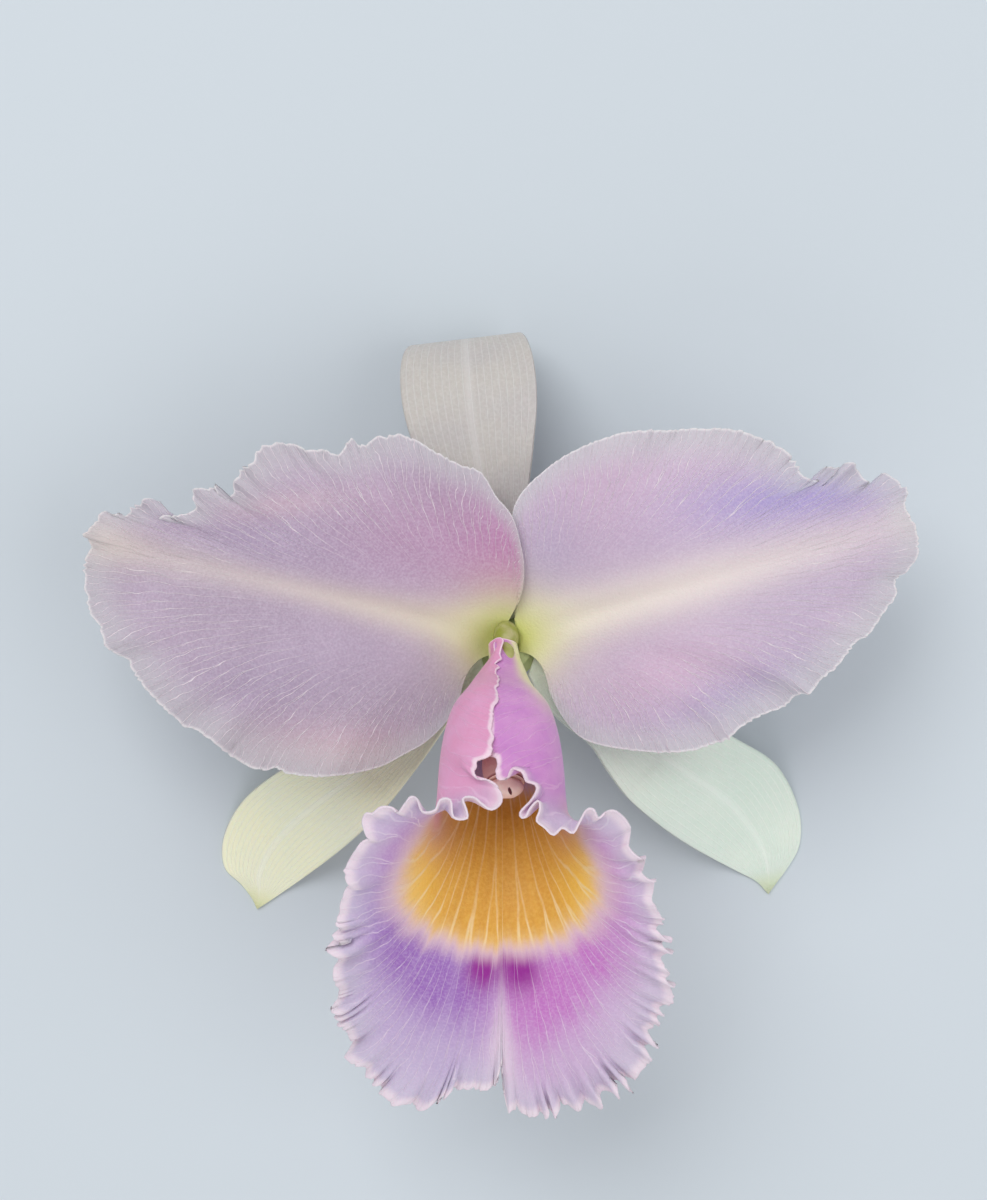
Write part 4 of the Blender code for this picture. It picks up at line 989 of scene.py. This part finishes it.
mark(lip, "mouth_shade", np.clip(blot(45.0, -19.0, 6.0, 7.0) + 0.8 * blot(44.0, 19.0, 6.0, 6.0), 0.0, 1.0))
# Painted light: the throat's two sides are marked to be painted brighter than its shaded middle.
mark(lip, "throat_sides_painted_light", np.clip(blot(54.0, -20.0, 9.0, 6.5) + blot(55.0, 20.0, 9.5, 6.5), 0.0, 1.0))

lip_tissue, tree, shader = tissue("lip tissue", 0.5, sheen=0.2, glow=0.22)
chart = knot(tree, "ShaderNodeUVMap", uv_map="vein_map").outputs[0]
veins, outward = forking_veins(tree, chart, 50.0, 9.0, first=0.42, second=0.68, clear=0.02, crooked=0.6)
# pale ground of the disc, cooler on the left, then its bands of purple
disc = glaze(tree, reading(tree, "left_lobe"), colour(200, 176, 206), colour(190, 172, 206))
disc = glaze(tree, fade(tree, mottle(tree, 0.014, detail=5.0), 0.3, 0.75, 0.0, 0.5), disc, colour(204, 190, 212))
feather = knot(tree, "ShaderNodeTexNoise", {
    "Vector": knot(tree, "ShaderNodeMapping", {"Vector": chart, "Scale": (46.0, 3.0, 1.0)}).outputs[0],
    "Scale": 1.0, "Detail": 5.0,
}).outputs["Fac"]
streaky = fade(tree, feather, 0.25, 0.7, 0.75, 1.12)
violet = sum_of(tree, "MULTIPLY", reading(tree, "violet_band"), streaky)
pink = sum_of(tree, "MULTIPLY", reading(tree, "pink_band"), streaky)
disc = glaze(tree, sum_of(tree, "MINIMUM", violet, 0.95), disc, colour(150, 100, 180))
disc = glaze(tree, sum_of(tree, "MINIMUM", pink, 0.95), disc, colour(192, 112, 190))
disc = glaze(tree, fade(tree, mottle(tree, 0.0005, detail=4.0), 0.38, 0.7, 0.0, 0.2), disc, colour(232, 214, 234))
spot_share = sum_of(tree, "MULTIPLY", reading(tree, "double_spot"), fade(tree, feather, 0.2, 0.65, 0.75, 1.15))
disc = glaze(tree, sum_of(tree, "MINIMUM", spot_share, 0.96), disc, colour(146, 18, 142))
veins = sum_of(tree, "MULTIPLY", veins, fade(tree, outward, 0.4, 0.8, 0.1, 0.6))
disc = glaze(tree, veins, disc, colour(236, 218, 234))
disc = glaze(tree, sum_of(tree, "MULTIPLY", reading(tree, "streak"), 0.8), disc, colour(226, 208, 220))
disc = glaze(tree, fade(tree, outward, 0.84, 0.97, 0.0, 0.55), disc, colour(206, 198, 214))
# Painted highlight, in part: the whitish line along the ruffled edge is partly the lip's own pale margin and partly
# light caught by the curled edge.
disc = glaze(tree, fade(tree, outward, 0.95, 0.985, 0.0, 0.8), disc, colour(240, 222, 230))
# pinkish halo, then the orange patch with its pale rays and painted light on its sides
edge = sum_of(tree, "MULTIPLY_ADD", sum_of(tree, "SUBTRACT", feather, 0.5), 0.3, reading(tree, "patch"))
disc = glaze(tree, fade(tree, edge, 1.26, 0.98, 0.0, 0.85), disc, colour(224, 192, 196))
rays, outward = forking_veins(tree, chart, 20.0, 5.0, first=0.3, second=0.52, clear=0.034, crooked=0.5)
throat = glaze(tree, fade(tree, feather, 0.35, 0.65, 0.0, 0.5), colour(218, 160, 60), colour(204, 144, 50))
# Painted light: the throat's sides are painted brighter than its shaded middle.
throat = glaze(tree, reading(tree, "throat_sides_painted_light"), throat, colour(244, 190, 74))
throat = glaze(tree, fade(tree, mottle(tree, 0.0007, detail=4.0), 0.35, 0.7, 0.0, 0.2), throat, colour(246, 206, 110))
throat = glaze(tree, sum_of(tree, "MULTIPLY", rays, fade(tree, edge, 0.3, 0.9, 0.3, 0.7)), throat, colour(242, 216, 168))
throat = glaze(tree, fade(tree, edge, 0.72, 1.0, 0.0, 0.5), throat, colour(240, 206, 150))
disc = glaze(tree, fade(tree, edge, 1.08, 0.86), disc, throat)
disc = glaze(tree, sum_of(tree, "MULTIPLY", reading(tree, "mouth_shade"), 0.75), disc, colour(206, 160, 150))
# the tube's outer skin, its cream foot, and the whitish ruffled margin over everything, partly painted highlight
rolled = glaze(tree, reading(tree, "left_lobe"), colour(206, 138, 204), colour(230, 156, 194))
rolled = glaze(tree, fade(tree, mottle(tree, 0.005, detail=5.0), 0.3, 0.75, 0.0, 0.4), rolled, colour(232, 178, 216))
rolled = glaze(tree, sum_of(tree, "MULTIPLY", veins, 0.55), rolled, colour(240, 196, 226))
rolled = glaze(tree, sum_of(tree, "MULTIPLY", reading(tree, "tube_foot"), 0.95), rolled, colour(232, 230, 172))
# Painted highlight, in part: the whitish edge of the rolled margin is partly its own pale colour and partly light
# caught by the curl.
rolled = glaze(tree, fade(tree, outward, 0.978, 0.992, 0.0, 0.85), rolled, colour(250, 222, 234))
body = glaze(tree, reading(tree, "tube"), disc, rolled)
tree.links.new(body, shader.inputs["Base Color"])
relief = sum_of(tree, "MULTIPLY_ADD", veins, 0.8, mottle(tree, 0.0005, detail=3.0))
raise_relief(tree, shader, relief, 0.00011)
grown(lip, lip_tissue, "lip")


# Stage: a plain pale surface under the bloom, soft light from above, and the camera, which
# looks straight at the flower's face from half a metre, as the photograph does.

CAMERA_PLACE = (-0.001423, 0.023629, 0.527)
CAMERA_FOCAL_PIXELS = 2318.0
PICTURE_HEIGHT = 1200.0
SENSOR = 36.0

floor_mesh = bpy.data.meshes.new("floor")
edge = 3.0
floor_mesh.from_pydata(
    [(-edge, -edge, -0.0001), (edge, -edge, -0.0001), (edge, edge, -0.0001), (-edge, edge, -0.0001)],
    [], [(0, 1, 2, 3)],
)
floor = bpy.data.objects.new("floor", floor_mesh)
bpy.context.scene.collection.objects.link(floor)
paper = bpy.data.materials.new("pale surface")
paper.use_nodes = True
paper.node_tree.nodes["Principled BSDF"].inputs["Base Color"].default_value = colour(206, 214, 220)
paper.node_tree.nodes["Principled BSDF"].inputs["Roughness"].default_value = 0.8
floor_mesh.materials.append(paper)

for name, spot_place, size, power in (
    ("key", (-0.5, 0.8, 1.3), 1.1, 12.0),
    ("fill", (0.9, -0.3, 1.0), 1.2, 5.0),
    ("low_fill", (-0.2, -1.2, 0.7), 1.0, 3.0),
):
    lamp = bpy.data.lights.new(name, "AREA")
    lamp.energy = power
    lamp.size = size
    holder = bpy.data.objects.new(name, lamp)
    holder.location = spot_place
    aim = -np.array(spot_place) + np.array([0.0, 0.0, 0.04])
    holder.rotation_euler = (
        np.arctan2(np.hypot(aim[0], aim[1]), -aim[2]), 0.0, np.arctan2(-aim[0], aim[1]),
    )
    bpy.context.scene.collection.objects.link(holder)

sky = bpy.data.worlds.new("soft room")
sky.use_nodes = True
sky.node_tree.nodes["Background"].inputs["Color"].default_value = (0.95, 0.97, 1.0, 1.0)
sky.node_tree.nodes["Background"].inputs["Strength"].default_value = 0.5
bpy.context.scene.world = sky
bpy.context.scene.view_settings.view_transform = "Standard"

camera_lens = bpy.data.cameras.new("camera")
camera_lens.sensor_width = SENSOR
camera_lens.lens = CAMERA_FOCAL_PIXELS / PICTURE_HEIGHT * SENSOR
camera_lens.clip_start = 0.01
camera = bpy.data.objects.new("camera", camera_lens)
camera.location = CAMERA_PLACE
bpy.context.scene.collection.objects.link(camera)
bpy.context.scene.camera = camera

bpy.context.view_layer.update()
